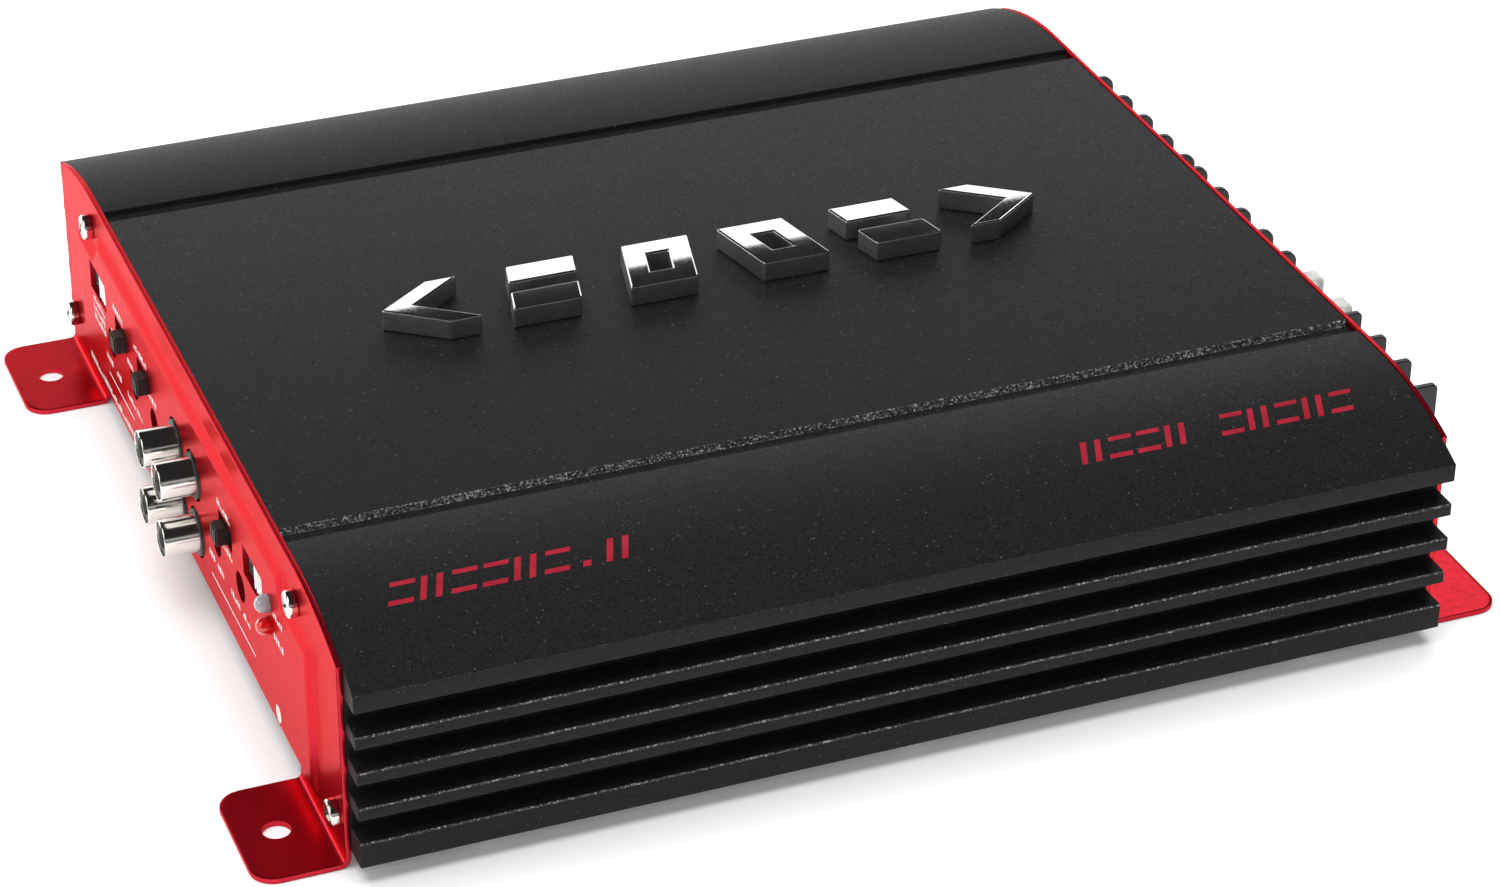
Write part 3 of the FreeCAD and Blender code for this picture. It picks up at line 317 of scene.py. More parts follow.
def powder_coat():
    """Charcoal powder coat: a fine pebbled skin with a scatter of bright flakes."""
    n = Nodes("powder_coat", Specular_IOR_Level=0.17)
    stops = [(0.0, grey(0.0070)), (0.5, grey(0.0095)), (0.982, grey(0.0130)), (0.996, grey(0.030)),
             (1.0, grey(0.075))]
    n.colour(n.ramp(n.flakes(0.30), stops))
    n.roughness(n.ramp(n.noise(0.6), [(0.3, 0.46), (0.7, 0.60)]))
    n.bump(n.noise(0.38, 4), 0.04, 0.7)
    return n.material


def groove_painted_sparkle():
    """The same coat on the grooves' walls and the fins' upper edges, with its flakes painted brighter as a
    painted sparkle where they catch the light.
    """
    n = Nodes("groove_painted_sparkle", Specular_IOR_Level=0.5)
    # brighter flake colours than the coat's own: painted sparkle, a painted highlight on these faces
    stops = [(0.0, (0.012, 0.012, 0.0125, 1)), (0.45, (0.030, 0.030, 0.031, 1)),
             (0.8, (0.10, 0.10, 0.102, 1)), (1.0, (0.34, 0.34, 0.35, 1))]
    n.colour(n.ramp(n.flakes(0.34), stops))
    n.roughness(n.ramp(n.noise(0.5), [(0.3, 0.42), (0.7, 0.6)]))
    n.bump(n.noise(0.4, 4), 0.08, 1.0)
    return n.material


def red_enamel():
    """Metallic red paint under a clear coat."""
    n = Nodes("red_enamel", Metallic=0.92, Specular_Tint=(1.0, 0.24, 0.28, 1), Coat_Weight=0.16,
              Coat_Roughness=0.25)
    n.colour(n.ramp(n.flakes(0.12), [(0.0, (0.50, 0.010, 0.024, 1)), (1.0, (0.66, 0.022, 0.042, 1))]))
    n.roughness(n.ramp(n.noise(1.4), [(0.3, 0.28), (0.7, 0.36)]))
    n.bump(n.noise(1.1, 2), 0.006, 0.5)
    return n.material


def plated(name, colour, low, high, grain=0.8, stretch=(1, 1, 1), height=0.002):
    """Bright plated metal with faint wear in its polish."""
    n = Nodes(name, Metallic=1.0)
    dull = tuple(c * 0.93 for c in colour)
    n.colour(n.ramp(n.noise(grain * 6), [(0.3, (*dull, 1)), (0.7, (*colour, 1))]))
    n.roughness(n.ramp(n.noise(grain, 4, stretch), [(0.3, low), (0.7, high)]))
    n.bump(n.noise(grain, 3, stretch), height, 0.4)
    return n.material


def moulded(name, colour, roughness=0.4, grain=0.35, height=0.012, **settings):
    """Moulded plastic: a fine grain and a slight change of tone."""
    n = Nodes(name, **settings)
    pale = tuple(min(1.0, c * 1.25 + 0.004) for c in colour)
    n.colour(n.ramp(n.noise(grain * 12, 2), [(0.35, (*colour, 1)), (0.7, (*pale, 1))]))
    n.roughness(n.ramp(n.noise(grain * 3), [(0.3, roughness - 0.07), (0.7, roughness + 0.07)]))
    n.bump(n.noise(grain, 3), height, 0.7)
    return n.material


def lens(name, colour, transmission):
    """A glossy moulded lamp lens."""
    n = Nodes(name, Transmission_Weight=transmission, IOR=1.49, Coat_Weight=1.0, Coat_Roughness=0.04)
    n.colour(n.ramp(n.noise(1.5), [(0.3, (*colour, 1)), (0.7, (*(c * 0.9 for c in colour), 1))]))
    n.roughness(n.ramp(n.noise(0.8), [(0.3, 0.05), (0.7, 0.12)]))
    return n.material


def board_mask():
    """Green solder mask with paler copper tracks under it."""
    n = Nodes("board_mask", Specular_IOR_Level=0.5)
    stops = [(0.46, (0.010, 0.085, 0.035, 1)), (0.5, (0.03, 0.17, 0.07, 1))]
    n.colour(n.ramp(n.noise(4.0, 2, (1, 4, 1)), stops))
    n.roughness(n.ramp(n.noise(1.5), [(0.3, 0.28), (0.7, 0.42)]))
    n.bump(n.noise(2.0), 0.02, 0.4)
    return n.material


def winding():
    """Enamelled wire that runs round the ring."""
    n = Nodes("copper_winding", Metallic=0.85)
    turns = n.noise(0.9, 1, (1, 1, 0.1))
    n.colour(n.ramp(turns, [(0.35, (0.20, 0.06, 0.02, 1)), (0.6, (0.72, 0.28, 0.10, 1))]))
    n.roughness(n.ramp(turns, [(0.3, 0.45), (0.7, 0.25)]))
    n.bump(turns, 0.35)
    return n.material


def studio_floor():
    """A matt white floor with a slight glow of its own, so that shadows stay pale."""
    n = Nodes("studio_floor", Specular_IOR_Level=0.1, Emission_Color=grey(1.0), Emission_Strength=0.10)
    n.colour(n.ramp(n.noise(400, 2), [(0.3, grey(0.90)), (0.7, grey(0.92))]))
    n.roughness(n.ramp(n.noise(30), [(0.3, 0.75), (0.7, 0.85)]))
    return n.material


def make_materials():
    """Every material by its slot's name."""
    return {
        "powder_coat": powder_coat(),
        "groove": groove_painted_sparkle(),
        "red_plate": red_enamel(),
        "badge_chrome": plated("badge_chrome", (0.95, 0.95, 0.96), 0.012, 0.022, height=0.0001),
        "badge_edge": plated("badge_edge", (0.90, 0.90, 0.92), 0.24, 0.42, 0.25, height=0.02),
        "nickel": plated("nickel", (0.83, 0.81, 0.77), 0.10, 0.20),
        "gold_contact": plated("gold_contact", (0.92, 0.68, 0.30), 0.12, 0.22),
        "switch_steel": plated("switch_steel", (0.55, 0.55, 0.55), 0.28, 0.42),
        "clamp_aluminium": plated("clamp_aluminium", (0.75, 0.75, 0.77), 0.30, 0.42, 0.5, (0.1, 1, 1)),
        "black_steel": moulded("black_steel", (0.012, 0.012, 0.0125), 0.42, 0.5, 0.02),
        "black_plastic": moulded("black_plastic", (0.005, 0.005, 0.0055), 0.40),
        "phono_insulator": moulded("phono_insulator", (0.020, 0.020, 0.020), 0.30),
        "white_plastic": moulded("white_plastic", (0.86, 0.86, 0.84), 0.35),
        "trimmer_blue": moulded("trimmer_blue", (0.02, 0.05, 0.16), 0.4),
        "trimmer_face": moulded("trimmer_face", (0.050, 0.048, 0.046), 0.35),
        "clear_lamp": lens("clear_lamp", (0.46, 0.52, 0.58), 0.4),
        "red_lamp": lens("red_lamp", (0.74, 0.002, 0.003), 0.0),
        "board_green": board_mask(),
        "ferrite": moulded("ferrite", (0.035, 0.035, 0.037), 0.6, 0.5, 0.04),
        "copper_wire": winding(),
        "capacitor_sleeve": moulded("capacitor_sleeve", (0.012, 0.018, 0.05), 0.3),
        "pad_grey": moulded("pad_grey", (0.35, 0.35, 0.37), 0.7),
        "fuse_plastic": moulded("fuse_plastic", (0.78, 0.78, 0.74), 0.18, 0.5, 0.004,
                                Transmission_Weight=0.6),
        "red_print": moulded("red_print", (0.25, 0.006, 0.018), 0.55, 0.4, 0.02, Specular_IOR_Level=0.2),
        "white_print": moulded("white_print", (0.80, 0.72, 0.70), 0.5, 0.4, 0.02),
        "floor": studio_floor(),
    }


# --- housing ---------------------------------------------------------------------------------------------

def shoulder_height(across):
    """Height of the housing's outline at a distance from its middle."""
    beyond = max(0.0, abs(across) - FLAT_HALF)
    return TOP - SHOULDER_RADIUS + math.sqrt(SHOULDER_RADIUS ** 2 - beyond ** 2)


def half_profile():
    """Corners (y, z, radius) of the extrusion from the top's middle round the fins to the roof's middle."""
    half, web = WIDTH / 2, WIDTH / 2 - FIN_DEPTH
    inner = web - SIDE_WALL
    corners = [(0, TOP, 0), (GROOVE_INNER, TOP, 0.2), (GROOVE_FOOT, TOP - GROOVE_DEPTH, 0.2),
               (GROOVE_OUTER, TOP - GROOVE_DEPTH, 0.2), (GROOVE_OUTER, TOP, 0.25)]
    steps = 36
    for step in range(steps):
        across = FLAT_HALF + (half - FLAT_HALF) * math.sin(math.pi / 2 * step / steps)
        corners.append((across, shoulder_height(across), 0))
    corners.append((half, shoulder_height(half), 0.7))
    for gap in reversed(range(FIN_GAPS)):
        low = BOTTOM + BOTTOM_FIN + gap * FIN_PITCH
        high = low + FIN_GAP
        corners += [(half, high, 0.4), (web, high, 0.5), (web, low, 0.5), (half, low, 0.4)]
    corners += [(half, BOTTOM, 0.5), (inner, BOTTOM, 0.3), (inner, TOP - ROOF - ROOF_DROP, 0),
                (inner - ROOF_CUT, TOP - ROOF, 0), (0, TOP - ROOF, 0)]
    return corners


def inset_outline(outline, inset):
    """The outline moved inward by a small distance along each point's normal."""
    points = np.array(outline)
    along = np.roll(points, -1, 0) - np.roll(points, 1, 0)
    along /= np.maximum(np.linalg.norm(along, axis=1), 1e-9)[:, None]
    return [tuple(p) for p in points + inset * np.column_stack([along[:, 1], -along[:, 0]])]


def housing_sweep():
    """The extrusion's closed outline swept along X, with a fine chamfer at both ends."""
    half = half_profile()
    corners = half + [(-y, z, r) for y, z, r in reversed(half[1:-1])]
    outline = rounded(corners, 4)
    chamfer = 0.2
    stations = [(-END, chamfer), (-END + chamfer, 0), (END - chamfer, 0), (END, chamfer)]
    points, faces = [], []
    for x, inset in stations:
        points += [(x, y, z) for y, z in inset_outline(outline, inset)]
    count = len(outline)
    for ring in range(len(stations) - 1):
        low, high = ring * count, (ring + 1) * count
        faces += [(low + i, low + (i + 1) % count, high + (i + 1) % count, high + i) for i in range(count)]
    faces += [tuple(range(count - 1, -1, -1)), tuple(range(3 * count, 4 * count))]
    return points, faces


def catches_light(face):
    """Whether a face lies on a groove's wall or on a fin's rounded upper edge."""
    across, height = abs(face.calc_center_median().y) / MM, face.calc_center_median().z / MM
    in_groove = GROOVE_INNER - 0.3 < across < GROOVE_FOOT + 0.1 and TOP - GROOVE_DEPTH < height < TOP
    on_lip = across > WIDTH / 2 - LIP_PAINTED_SPARKLE and 0.15 < face.normal.z < 0.85
    return abs(face.normal.x) < 0.1 and (on_lip or in_groove and face.normal.z < 0.98)


def build_housing(m):
    """The finned extrusion, with a second material, the coat with painted sparkle, on the faces that catch the
    light.
    """
    obj = place_mesh("extrusion", [housing_sweep()], m["powder_coat"])
    obj.data.materials.append(m["groove"])
    work = bmesh.new()
    work.from_mesh(obj.data)
    # on this deeply ribbed section the recalculated faces can settle inside out
    if work.calc_volume(signed=True) < 0:
        bmesh.ops.reverse_faces(work, faces=work.faces)
    bmesh.ops.triangulate(work, faces=[f for f in work.faces if len(f.verts) > 4])
    for face in work.faces:
        # these faces get the coat with the painted sparkle, a painted highlight
        if catches_light(face):
            face.material_index = 1
    work.to_mesh(obj.data)
    work.free()
    smooth_by_angle(obj, 30)
    return keep(obj, "powder_coat", "heatsink")


def shoulder_stroke(start, end, low, high):
    """A printed stroke that follows the front shoulder, leaning as the whole row does."""
    rows = 6
    points = []
    for row in range(rows + 1):
        share = low + (high - low) * row / rows
        y = PRINT_LOW + (PRINT_HIGH - PRINT_LOW) * share
        z = shoulder_height(y) + PRINT_LIFT
        points += [(start + PRINT_LEAN * share, y, z), (end + PRINT_LEAN * share, y, z)]
    return points, [(2 * r, 2 * r + 1, 2 * r + 3, 2 * r + 2) for r in range(rows)]


def build_shoulder_print(m):
    """Plain rails, posts and dots printed in two rows along the front shoulder."""
    strokes = {"rails": [(0, 1, 0, 0.2), (0, 1, 0.8, 1)], "posts": [(0, 0.26, 0, 1), (0.62, 0.88, 0, 1)],
               "dot": [(0.3, 0.62, 0, 0.24)], "space": []}
    rows = [("rails", "posts", "rails", "rails", "posts", "rails", "dot", "posts"),
            ("posts", "rails", "rails", "posts", "space", "rails", "posts", "rails", "posts", "rails")]
    parts = []
    for start, kinds in zip(PRINT_STARTS, rows):
        for place, kind in enumerate(kinds):
            x = start + place * PRINT_PITCH
            parts += [shoulder_stroke(x + a * PRINT_WIDE, x + b * PRINT_WIDE, low, high)
                      for a, b, low, high in strokes[kind]]
    obj = place_mesh("shoulder_print", parts, m["red_print"])
    smooth_by_angle(obj)
    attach(obj, HOME)
    return obj


# --- end plates ------------------------------------------------------------------------------------------

def raised_outline():
    """Middle line of the emboss's sloping edge, as (y, z) corners."""
    half, foot, shelf, notch, top, cut = 92.2, 6.1, 39.4, 73.1, 45.4, 4.0
    right = [(half, foot), (half, shelf), (notch + cut, shelf), (notch, shelf + cut), (notch, top)]
    return right + [(-y, z) for y, z in reversed(right)]


def raised_share(y, z):
    """From 0 on the flat sheet to 1 on the raised panel, for arrays of points."""
    corners = raised_outline()
    nearest = np.full(y.shape, 1e9)
    inside = np.zeros(y.shape, bool)
    for (y0, z0), (y1, z1) in zip(corners, corners[1:] + corners[:1]):
        dy, dz = y1 - y0, z1 - z0
        t = np.clip(((y - y0) * dy + (z - z0) * dz) / (dy * dy + dz * dz), 0, 1)
        nearest = np.minimum(nearest, np.hypot(y - y0 - t * dy, z - z0 - t * dz))
        crosses = (z0 > z) != (z1 > z)
        if dz:
            inside ^= crosses & (y < y0 + (z - z0) * dy / dz)
    share = np.clip(0.5 + np.where(inside, nearest, -nearest) / EMBOSS_SOFTNESS, 0, 1)
    return share * share * (3 - 2 * share)


def tab_tip(across):
    """How far a tab reaches out of the plate at a place across it, less at its round corners."""
    short = 0.0
    for edge in (TAB_INNER, PLATE_HALF):
        from_edge = abs(across - edge)
        if from_edge < TAB_CORNER:
            short = TAB_CORNER - math.sqrt(max(0.0, TAB_CORNER ** 2 - (TAB_CORNER - from_edge) ** 2))
    return TAB_REACH - short


def plate_columns():
    """Stations across the plate, with extra ones where the tabs' corners turn."""
    spacing, turns, count = 0.7, 10, 30
    half = [i * spacing for i in range(int(TAB_INNER / spacing))]
    turn = [TAB_CORNER * (1 - math.cos(math.pi / 2 * i / turns)) for i in range(turns + 1)]
    half += [TAB_INNER + t for t in turn]
    middle = TAB_INNER + TAB_CORNER
    half += [middle + (PLATE_HALF - TAB_CORNER - middle) * i / count for i in range(1, count)]
    half += [PLATE_HALF - t for t in reversed(turn)]
    return sorted(set([-y for y in half] + half))


def tab_path(y):
    """Stations from the panel's foot down round the bend and out to the tab's tip."""
    above_bend, bend_steps, tab_steps = 3.4, 6, 14
    spots = [(FACE, y, above_bend)]
    for step in range(bend_steps + 1):
        angle = math.pi / 2 * step / bend_steps
        spots.append((FACE + BEND * (1 - math.cos(angle)), y, SHEET + BEND - BEND * math.sin(angle)))
    reach = tab_tip(abs(y))
    spots += [(FACE + BEND + (reach - BEND) * step / tab_steps, y, SHEET) for step in range(1, tab_steps + 1)]
    return spots


def plate_sheet(side):
    """The pressed sheet's outer face as a grid of quads: panel, then the bend and the tabs."""
    columns = plate_columns()
    rows = 74
    share = [(i / rows) for i in range(rows + 1)]
    ys = np.array([[y] * (rows + 1) for y in columns])
    tops = np.array([shoulder_height(y) for y in columns])
    zs = PLATE_FOOT + (tops[:, None] - PLATE_FOOT) * np.array(share)[None, :]
    xs = FACE + RAISE * raised_share(ys, zs)
    index, points, faces = {}, [], []

    def vertex(column, row, spot):
        if (column, row) not in index:
            index[column, row] = len(points)
            points.append((side * spot[0], spot[1], spot[2]))
        return index[column, row]

    for c in range(len(columns)):
        for r in range(rows + 1):
            vertex(c, r, (xs[c, r], ys[c, r], zs[c, r]))
    for c in range(len(columns) - 1):
        faces += [(index[c, r], index[c + 1, r], index[c + 1, r + 1], index[c, r + 1]) for r in range(rows)]
        if min(abs(columns[c]), abs(columns[c + 1])) < TAB_INNER - 0.01:
            continue
        left, right = tab_path(columns[c]), tab_path(columns[c + 1])
        for step in range(len(left)):
            a = vertex(c, -step - 1, left[step])
            b = vertex(c + 1, -step - 1, right[step])
            faces.append((a, b, index[c + 1, -step], index[c, -step]))
    return points, faces


def rod_part(radius, start, end, y, z, steps=40):
    """A round cutter or pin along X."""
    low, high = min(start, end), max(start, end)
    return moved(lathe([(radius, 0), (radius, high - low)], steps), (low, y, z), (1, 0, 0))


def signal_cutters():
    near, far = -END + 6, -RAISED_FACE - 2
    slots = [rectangle(y, FILTER_HEIGHT, FILTER_LONG, FILTER_TALL, OPENING_CORNER) for y in FILTER_SLOTS]
    slots += [rectangle(y, MODE_HEIGHT, MODE_LONG, MODE_TALL, OPENING_CORNER) for y in MODE_SLOTS]
    cutters = [prism(slot, near, far, "x") for slot in slots]
    cutters += [rod_part(TRIMMER_HOLE, near, far, y, TRIMMER_HEIGHT) for y in TRIMMER_SPOTS]
    cutters += [rod_part(PHONO_HOLE, near, far, y, z, 56) for y, z in PHONO_SPOTS.values()]
    cutters += [rod_part(LAMP_RADIUS + 0.1, near, far, LAMP_Y, z) for z in LAMP_HEIGHTS]
    return cutters


def power_cutters():
    near, far, gap = END - 6, RAISED_FACE + 2, 0.4
    tall = BLOCK_TOP - BLOCK_LOW + 2 * gap
    windows = [(y, SPEAKER_PITCH * 4 + SPEAKER_RIB) for y in SPEAKER_BLOCKS]
    windows += [(POWER_BLOCK, POWER_PITCH * 3 + POWER_RIB), (HOLDER_Y, HOLDER_LONG)]
    return [prism(rectangle(y, BLOCK_MIDDLE, wide + 2 * gap, tall, OPENING_CORNER), near, far, "x")
            for y, wide in windows]


def build_end_plate(m, name, side, screws, cutters):
    """A pressed plate with its tabs, made thick, rounded at its rim and cut through."""
    obj = place_mesh(name, [plate_sheet(side)], m["red_plate"])
    facing = sum(f.normal.x * f.area for f in obj.data.polygons)
    if facing * side < 0:
        obj.data.flip_normals()
    thick = obj.modifiers.new("sheet", "SOLIDIFY")
    thick.thickness = SHEET * MM
    thick.offset = -1
    thick.use_even_offset = True
    settle(obj)
    obj.data.shade_smooth()
    rim = obj.modifiers.new("rim", "BEVEL")
    rim.width = PLATE_RIM * MM
    rim.segments = 2
    rim.limit_method = "ANGLE"
    rim.angle_limit = math.radians(60)
    rim.use_clamp_overlap = False
    settle(obj)
    holes = [moved(lathe([(TAB_HOLE_RADIUS, 0), (TAB_HOLE_RADIUS, 8)], 48), (side * TAB_HOLE_X, y, -3))
             for y in (-TAB_HOLE_Y, TAB_HOLE_Y)]
    holes += [rod_part(SCREW_HOLE, side * (END - 4), side * (FACE + 4), y, z) for y, z in screws]
    carve(obj, cutters + holes)
    smooth_by_angle(obj, 40)
    return keep(obj, "red_plate", name)


def tick_row(start, end, height, tall, wide=0.75, gap=0.55, seed=1):
    """A row of small upright ticks of mixed width, on the raised signal panel."""
    draw = random.Random(seed)
    ticks = []
    y = max(start, end)
    low = min(start, end)
    while y - wide > low:
        size = wide * draw.choice((0.6, 1.0, 1.6))
        share = draw.choice((0.55, 1.0, 1.0))
        ticks.append(block((-RAISED_FACE - 0.03, y - size, height - tall / 2),
                           (-RAISED_FACE - 0.01, y, height - tall / 2 + tall * share)))
        y -= size + gap
    return ticks


def build_legends(m):
    """Plain printed rules and ticks on the signal panel."""
    face = -RAISED_FACE
    parts = [block((face - 0.03, low, z - 0.2), (face - 0.01, high, z + 0.2))
             for low, high, z in ((45.5, 68.0, 14.6), (-52.4, -19.1, 13.6))]
    # from, to, height and tallness of each row of ticks
    rows = [(86.3, 44.6, 9.6, 1.7), (69.0, 62.2, 18.8, 1.5), (60.2, 55.0, 18.8, 1.5),
            (50.2, 43.9, 18.8, 1.5), (42.3, 36.7, 18.8, 1.5), (58.9, 49.5, 36.4, 1.5),
            (40.6, 29.9, 36.4, 1.5), (78.8, 68.0, 28.6, 1.5), (78.8, 68.0, 26.2, 1.5),
            (78.8, 68.0, 23.8, 1.5), (-68.6, -75.5, 34.3, 1.5), (-68.6, -75.5, 28.9, 1.5),
            (-18.2, -23.0, 18.8, 1.5), (-24.9, -30.1, 18.8, 1.5), (-35.2, -42.4, 18.8, 1.5),
            (-44.0, -50.3, 18.8, 1.5), (-27.5, -38.5, 36.4, 1.5), (-29.0, -38.0, 27.6, 1.4),
            (31.5, 22.0, 30.2, 1.5), (62.5, 57.0, 29.0, 1.3), (48.0, 38.5, 28.6, 1.3)]
    for seed, (start, end, height, tall) in enumerate(rows):
        parts += tick_row(start, end, height, tall, seed=seed)
    parts.append(moved(lathe([(1.9, 0), (1.9, 0.02)], 32), (face - 0.03, -68.5, 10.0), (1, 0, 0)))
    obj = place_mesh("signal_legends", parts, m["white_print"])
    smooth_by_angle(obj)
    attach(obj, HOME)
    return obj


# --- screws ----------------------------------------------------------------------------------------------

def pan_head_screw():
    """A pan-head screw about +Z, its seat at 0, with a tapered cross recess. The points are in mm."""
    radius, height, edge, crown = 2.9, 2.3, 0.7, 0.2
    shank, length, steps = 1.6, 9, 6
    profile = [(0, -length), (shank - 0.3, -length), (shank, 0.6 - length), (shank, -0.2), (shank + 0.15, 0),
               (radius - 0.2, 0), (radius, 0.2)]
    for step in range(steps + 1):
        angle = math.pi / 2 * step / steps
        profile.append((radius - edge + edge * math.cos(angle),
                        height - crown - edge + edge * math.sin(angle)))
    profile += [((radius - edge) * share, height - crown * share ** 2) for share in (0.75, 0.5, 0.25, 0)]
    obj = place_mesh("screw_pattern", [lathe(profile, 56)], bpy.data.materials["nickel"])
    arms = []
    for turn in (0, math.pi / 2):
        points = [(u, v, z) for z, span, wide in ((0.9, 1.2, 0.32), (height + 0.3, 1.9, 0.46))
                  for u, v in ((-span, -wide), (span, -wide), (span, wide), (-span, wide))]
        faces = [(3, 2, 1, 0), (4, 5, 6, 7), (0, 1, 5, 4), (1, 2, 6, 5), (2, 3, 7, 6), (3, 0, 4, 7)]
        arms.append(moved((points, faces), (0, 0, 0), turn=turn))
    carve(obj, arms[:1])
    carve(obj, arms[1:])
    part = ([tuple(v.co / MM) for v in obj.data.vertices], [tuple(p.vertices) for p in obj.data.polygons])
    bpy.data.objects.remove(obj)
    return part


def build_plate_screws(m, screw, name, side, spots):
    draw = random.Random(side)
    parts = [moved(screw, (side * FACE, y, z), (side, 0, 0), draw.uniform(0, math.pi)) for y, z in spots]
    obj = place_mesh(name + "_shown", parts, m["nickel"])
    smooth_by_angle(obj, 32)
    return keep(obj, "nickel", name)


def build_cover_screws(m, screw):
    draw = random.Random(7)
    parts = [moved(screw, (x, y, BOTTOM - SHEET), (0, 0, -1), draw.uniform(0, math.pi), COVER_SCREW_SCALE)
             for x in (-COVER_SCREW_X, 0, COVER_SCREW_X) for y in (-COVER_SCREW_Y, COVER_SCREW_Y)]
    obj = place_mesh("cover_screws_shown", parts, m["nickel"])
    smooth_by_angle(obj, 32)
    return keep(obj, "nickel", "bottom_cover_screws")


# --- badge -----------------------------------------------------------------------------------------------

def slanted(middle, mirror, across, along):
    """A corner of an ornament, leaning with its place along the ornament's depth."""
    return middle + mirror * (across - along / BADGE_DEPTH * BADGE_SLANT), along


def badge_outlines():
    """Outlines of the ornaments, as (outer, inner or None)."""
    half, deep, bar = BADGE_WIDTH / 2, BADGE_DEPTH / 2, BADGE_BAR
    narrow, arm, rail = half - BADGE_SLANT / 2, bar * 1.4, bar * 1.35
    outlines = []
    for place, kind in enumerate(("arrow", "bars", "frame", "frame", "bars", "arrow")):
        middle, mirror = (place - 2.5) * BADGE_PITCH, -1 if place < 3 else 1
        if kind == "arrow":
            spots = [(-half, -deep), (-half + arm, -deep), (half, 0), (-half + arm, deep), (-half, deep),
                     (half - arm, 0)]
            outlines.append(([(middle + mirror * u, v) for u, v in spots], None))
        elif kind == "bars":
            for low, high in ((-deep, rail - deep), (deep - rail, deep)):
                spots = [(-narrow, low), (narrow, low), (narrow, high), (-narrow, high)]
                outlines.append(([slanted(middle, mirror, u, v) for u, v in spots], None))
        else:
            loops = []
            for inset in (0, bar):
                u, v = narrow - inset, deep - inset
                spots = ((-u, -v), (u, -v), (u, v), (-u, v))
                loops.append([slanted(middle, mirror, *spot) for spot in spots])
            outlines.append(tuple(loops))
    return outlines


def framed_prism(outer, inner, low, high):
    """A prism with a hole of as many corners as its outline."""
    count = len(outer)
    points = [(u, v, z) for z in (low, high) for loop in (outer, inner) for u, v in loop]
    faces = []
    for i in range(count):
        j = (i + 1) % count
        for top in (0, 2 * count):
            faces.append((top + i, top + j, top + count + j, top + count + i))
        for loop in (0, count):
            faces.append((loop + i, loop + j, 2 * count + loop + j, 2 * count + loop + i))
    return points, faces


def build_badge(m):
    """Six raised ornaments, polished on top and satin on their sides."""
    parts = []
    for outer, inner in badge_outlines():
        if inner:
            parts.append(framed_prism(outer, inner, TOP, TOP + BADGE_HEIGHT))
        else:
            parts.append(prism(outer, TOP, TOP + BADGE_HEIGHT, "z"))
    obj = place_mesh("badge_shown", parts, m["badge_chrome"])
    soften(obj, 0.45, 3)
    obj.data.materials.append(m["badge_edge"])
    for face in obj.data.polygons:
        if abs(face.normal.z) < 0.5:
            face.material_index = 1
    return keep(obj, "badge_chrome", "badge")


# --- signal panel ----------------------------------------------------------------------------------------

def build_phono_shells(m):
    """Four thin-walled metal shells with rolled mouths."""
    r, wall, rim = PHONO_RADIUS, 0.45, PHONO_LONG - 0.35
    profile = [(0, 0), (r, 0), (r, rim), (r - 0.12, PHONO_LONG - 0.08), (r - 0.25, PHONO_LONG),
               (r - wall + 0.06, PHONO_LONG - 0.06), (r - wall, rim), (r - wall, 1), (0, 1)]
    for number, (y, z) in PHONO_SPOTS.items():
        shell = moved(lathe(profile, 64), (-PHONO_TIP + PHONO_LONG, y, z), (-1, 0, 0))
        obj = place_mesh(f"phono_shell_{number}_shown", [shell], m["nickel"])
        smooth_by_angle(obj, 50)
        keep(obj, "nickel", f"phono_shell_{number}")


def build_phono_cores(m):
    """The insulating cores inside the shells."""
    length = PHONO_LONG - 1.4
    profile = [(0, 0), (3.6, 0), (3.6, length - 0.4), (3.2, length), (2.5, length), (2.1, length - 0.5),
               (2.1, 2), (0, 2)]
    cores = [moved(lathe(profile, 48), (-RAISED_FACE + PHONO_SEAT - 1, y, z), (-1, 0, 0))
             for y, z in PHONO_SPOTS.values()]
    obj = place_mesh("phono_cores_shown", cores, m["phono_insulator"])
    smooth_by_angle(obj)
    keep(obj, "phono_insulator", "phono_insulators")


def build_phono_contacts(m):
    """The gilt centre contacts."""
    profile = [(1.6, 0), (1.9, 0), (1.9, 4.9), (1.75, 5), (1.6, 4.9), (1.6, 0)]
    contacts = [moved(lathe(profile, 32), (-RAISED_FACE + 3, y, z), (-1, 0, 0))
                for y, z in PHONO_SPOTS.values()]
    obj = place_mesh("phono_contacts_shown", contacts, m["gold_contact"])
    smooth_by_angle(obj)
    keep(obj, "gold_contact", "phono_contacts")


def build_phono_housing(m):
    """The moulded body behind the plate, bored for the shells."""
    low, high = (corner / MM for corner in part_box("phono_housing"))
    body = block((-FACE, low.y, low.z), tuple(high))
    seats = [rod_part(PHONO_RADIUS, -RAISED_FACE + PHONO_SEAT, -RAISED_FACE, y, z)
             for y, z in PHONO_SPOTS.values()]
    obj = place_mesh("phono_housing_shown", [body], m["black_plastic"])
    carve(obj, seats)
    smooth_by_angle(obj, 30)
    keep(obj, "black_plastic", "phono_housing")


def build_phono_collars(m):
    """The body's collars, which stand through the plate round each shell."""
    profile = [(4.15, -1.5), (5.2, -1.5), (5.2, RAISE + 0.25), (4.95, RAISE + 0.5), (4.4, RAISE + 0.5),
               (4.15, RAISE + 0.3), (4.15, -1.5)]
    collars = [moved(lathe(profile, 56), (-FACE, y, z), (-1, 0, 0)) for y, z in PHONO_SPOTS.values()]
    obj = place_mesh("phono_collars", collars, m["black_plastic"])
    smooth_by_angle(obj, 50)
    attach(obj, HOME)


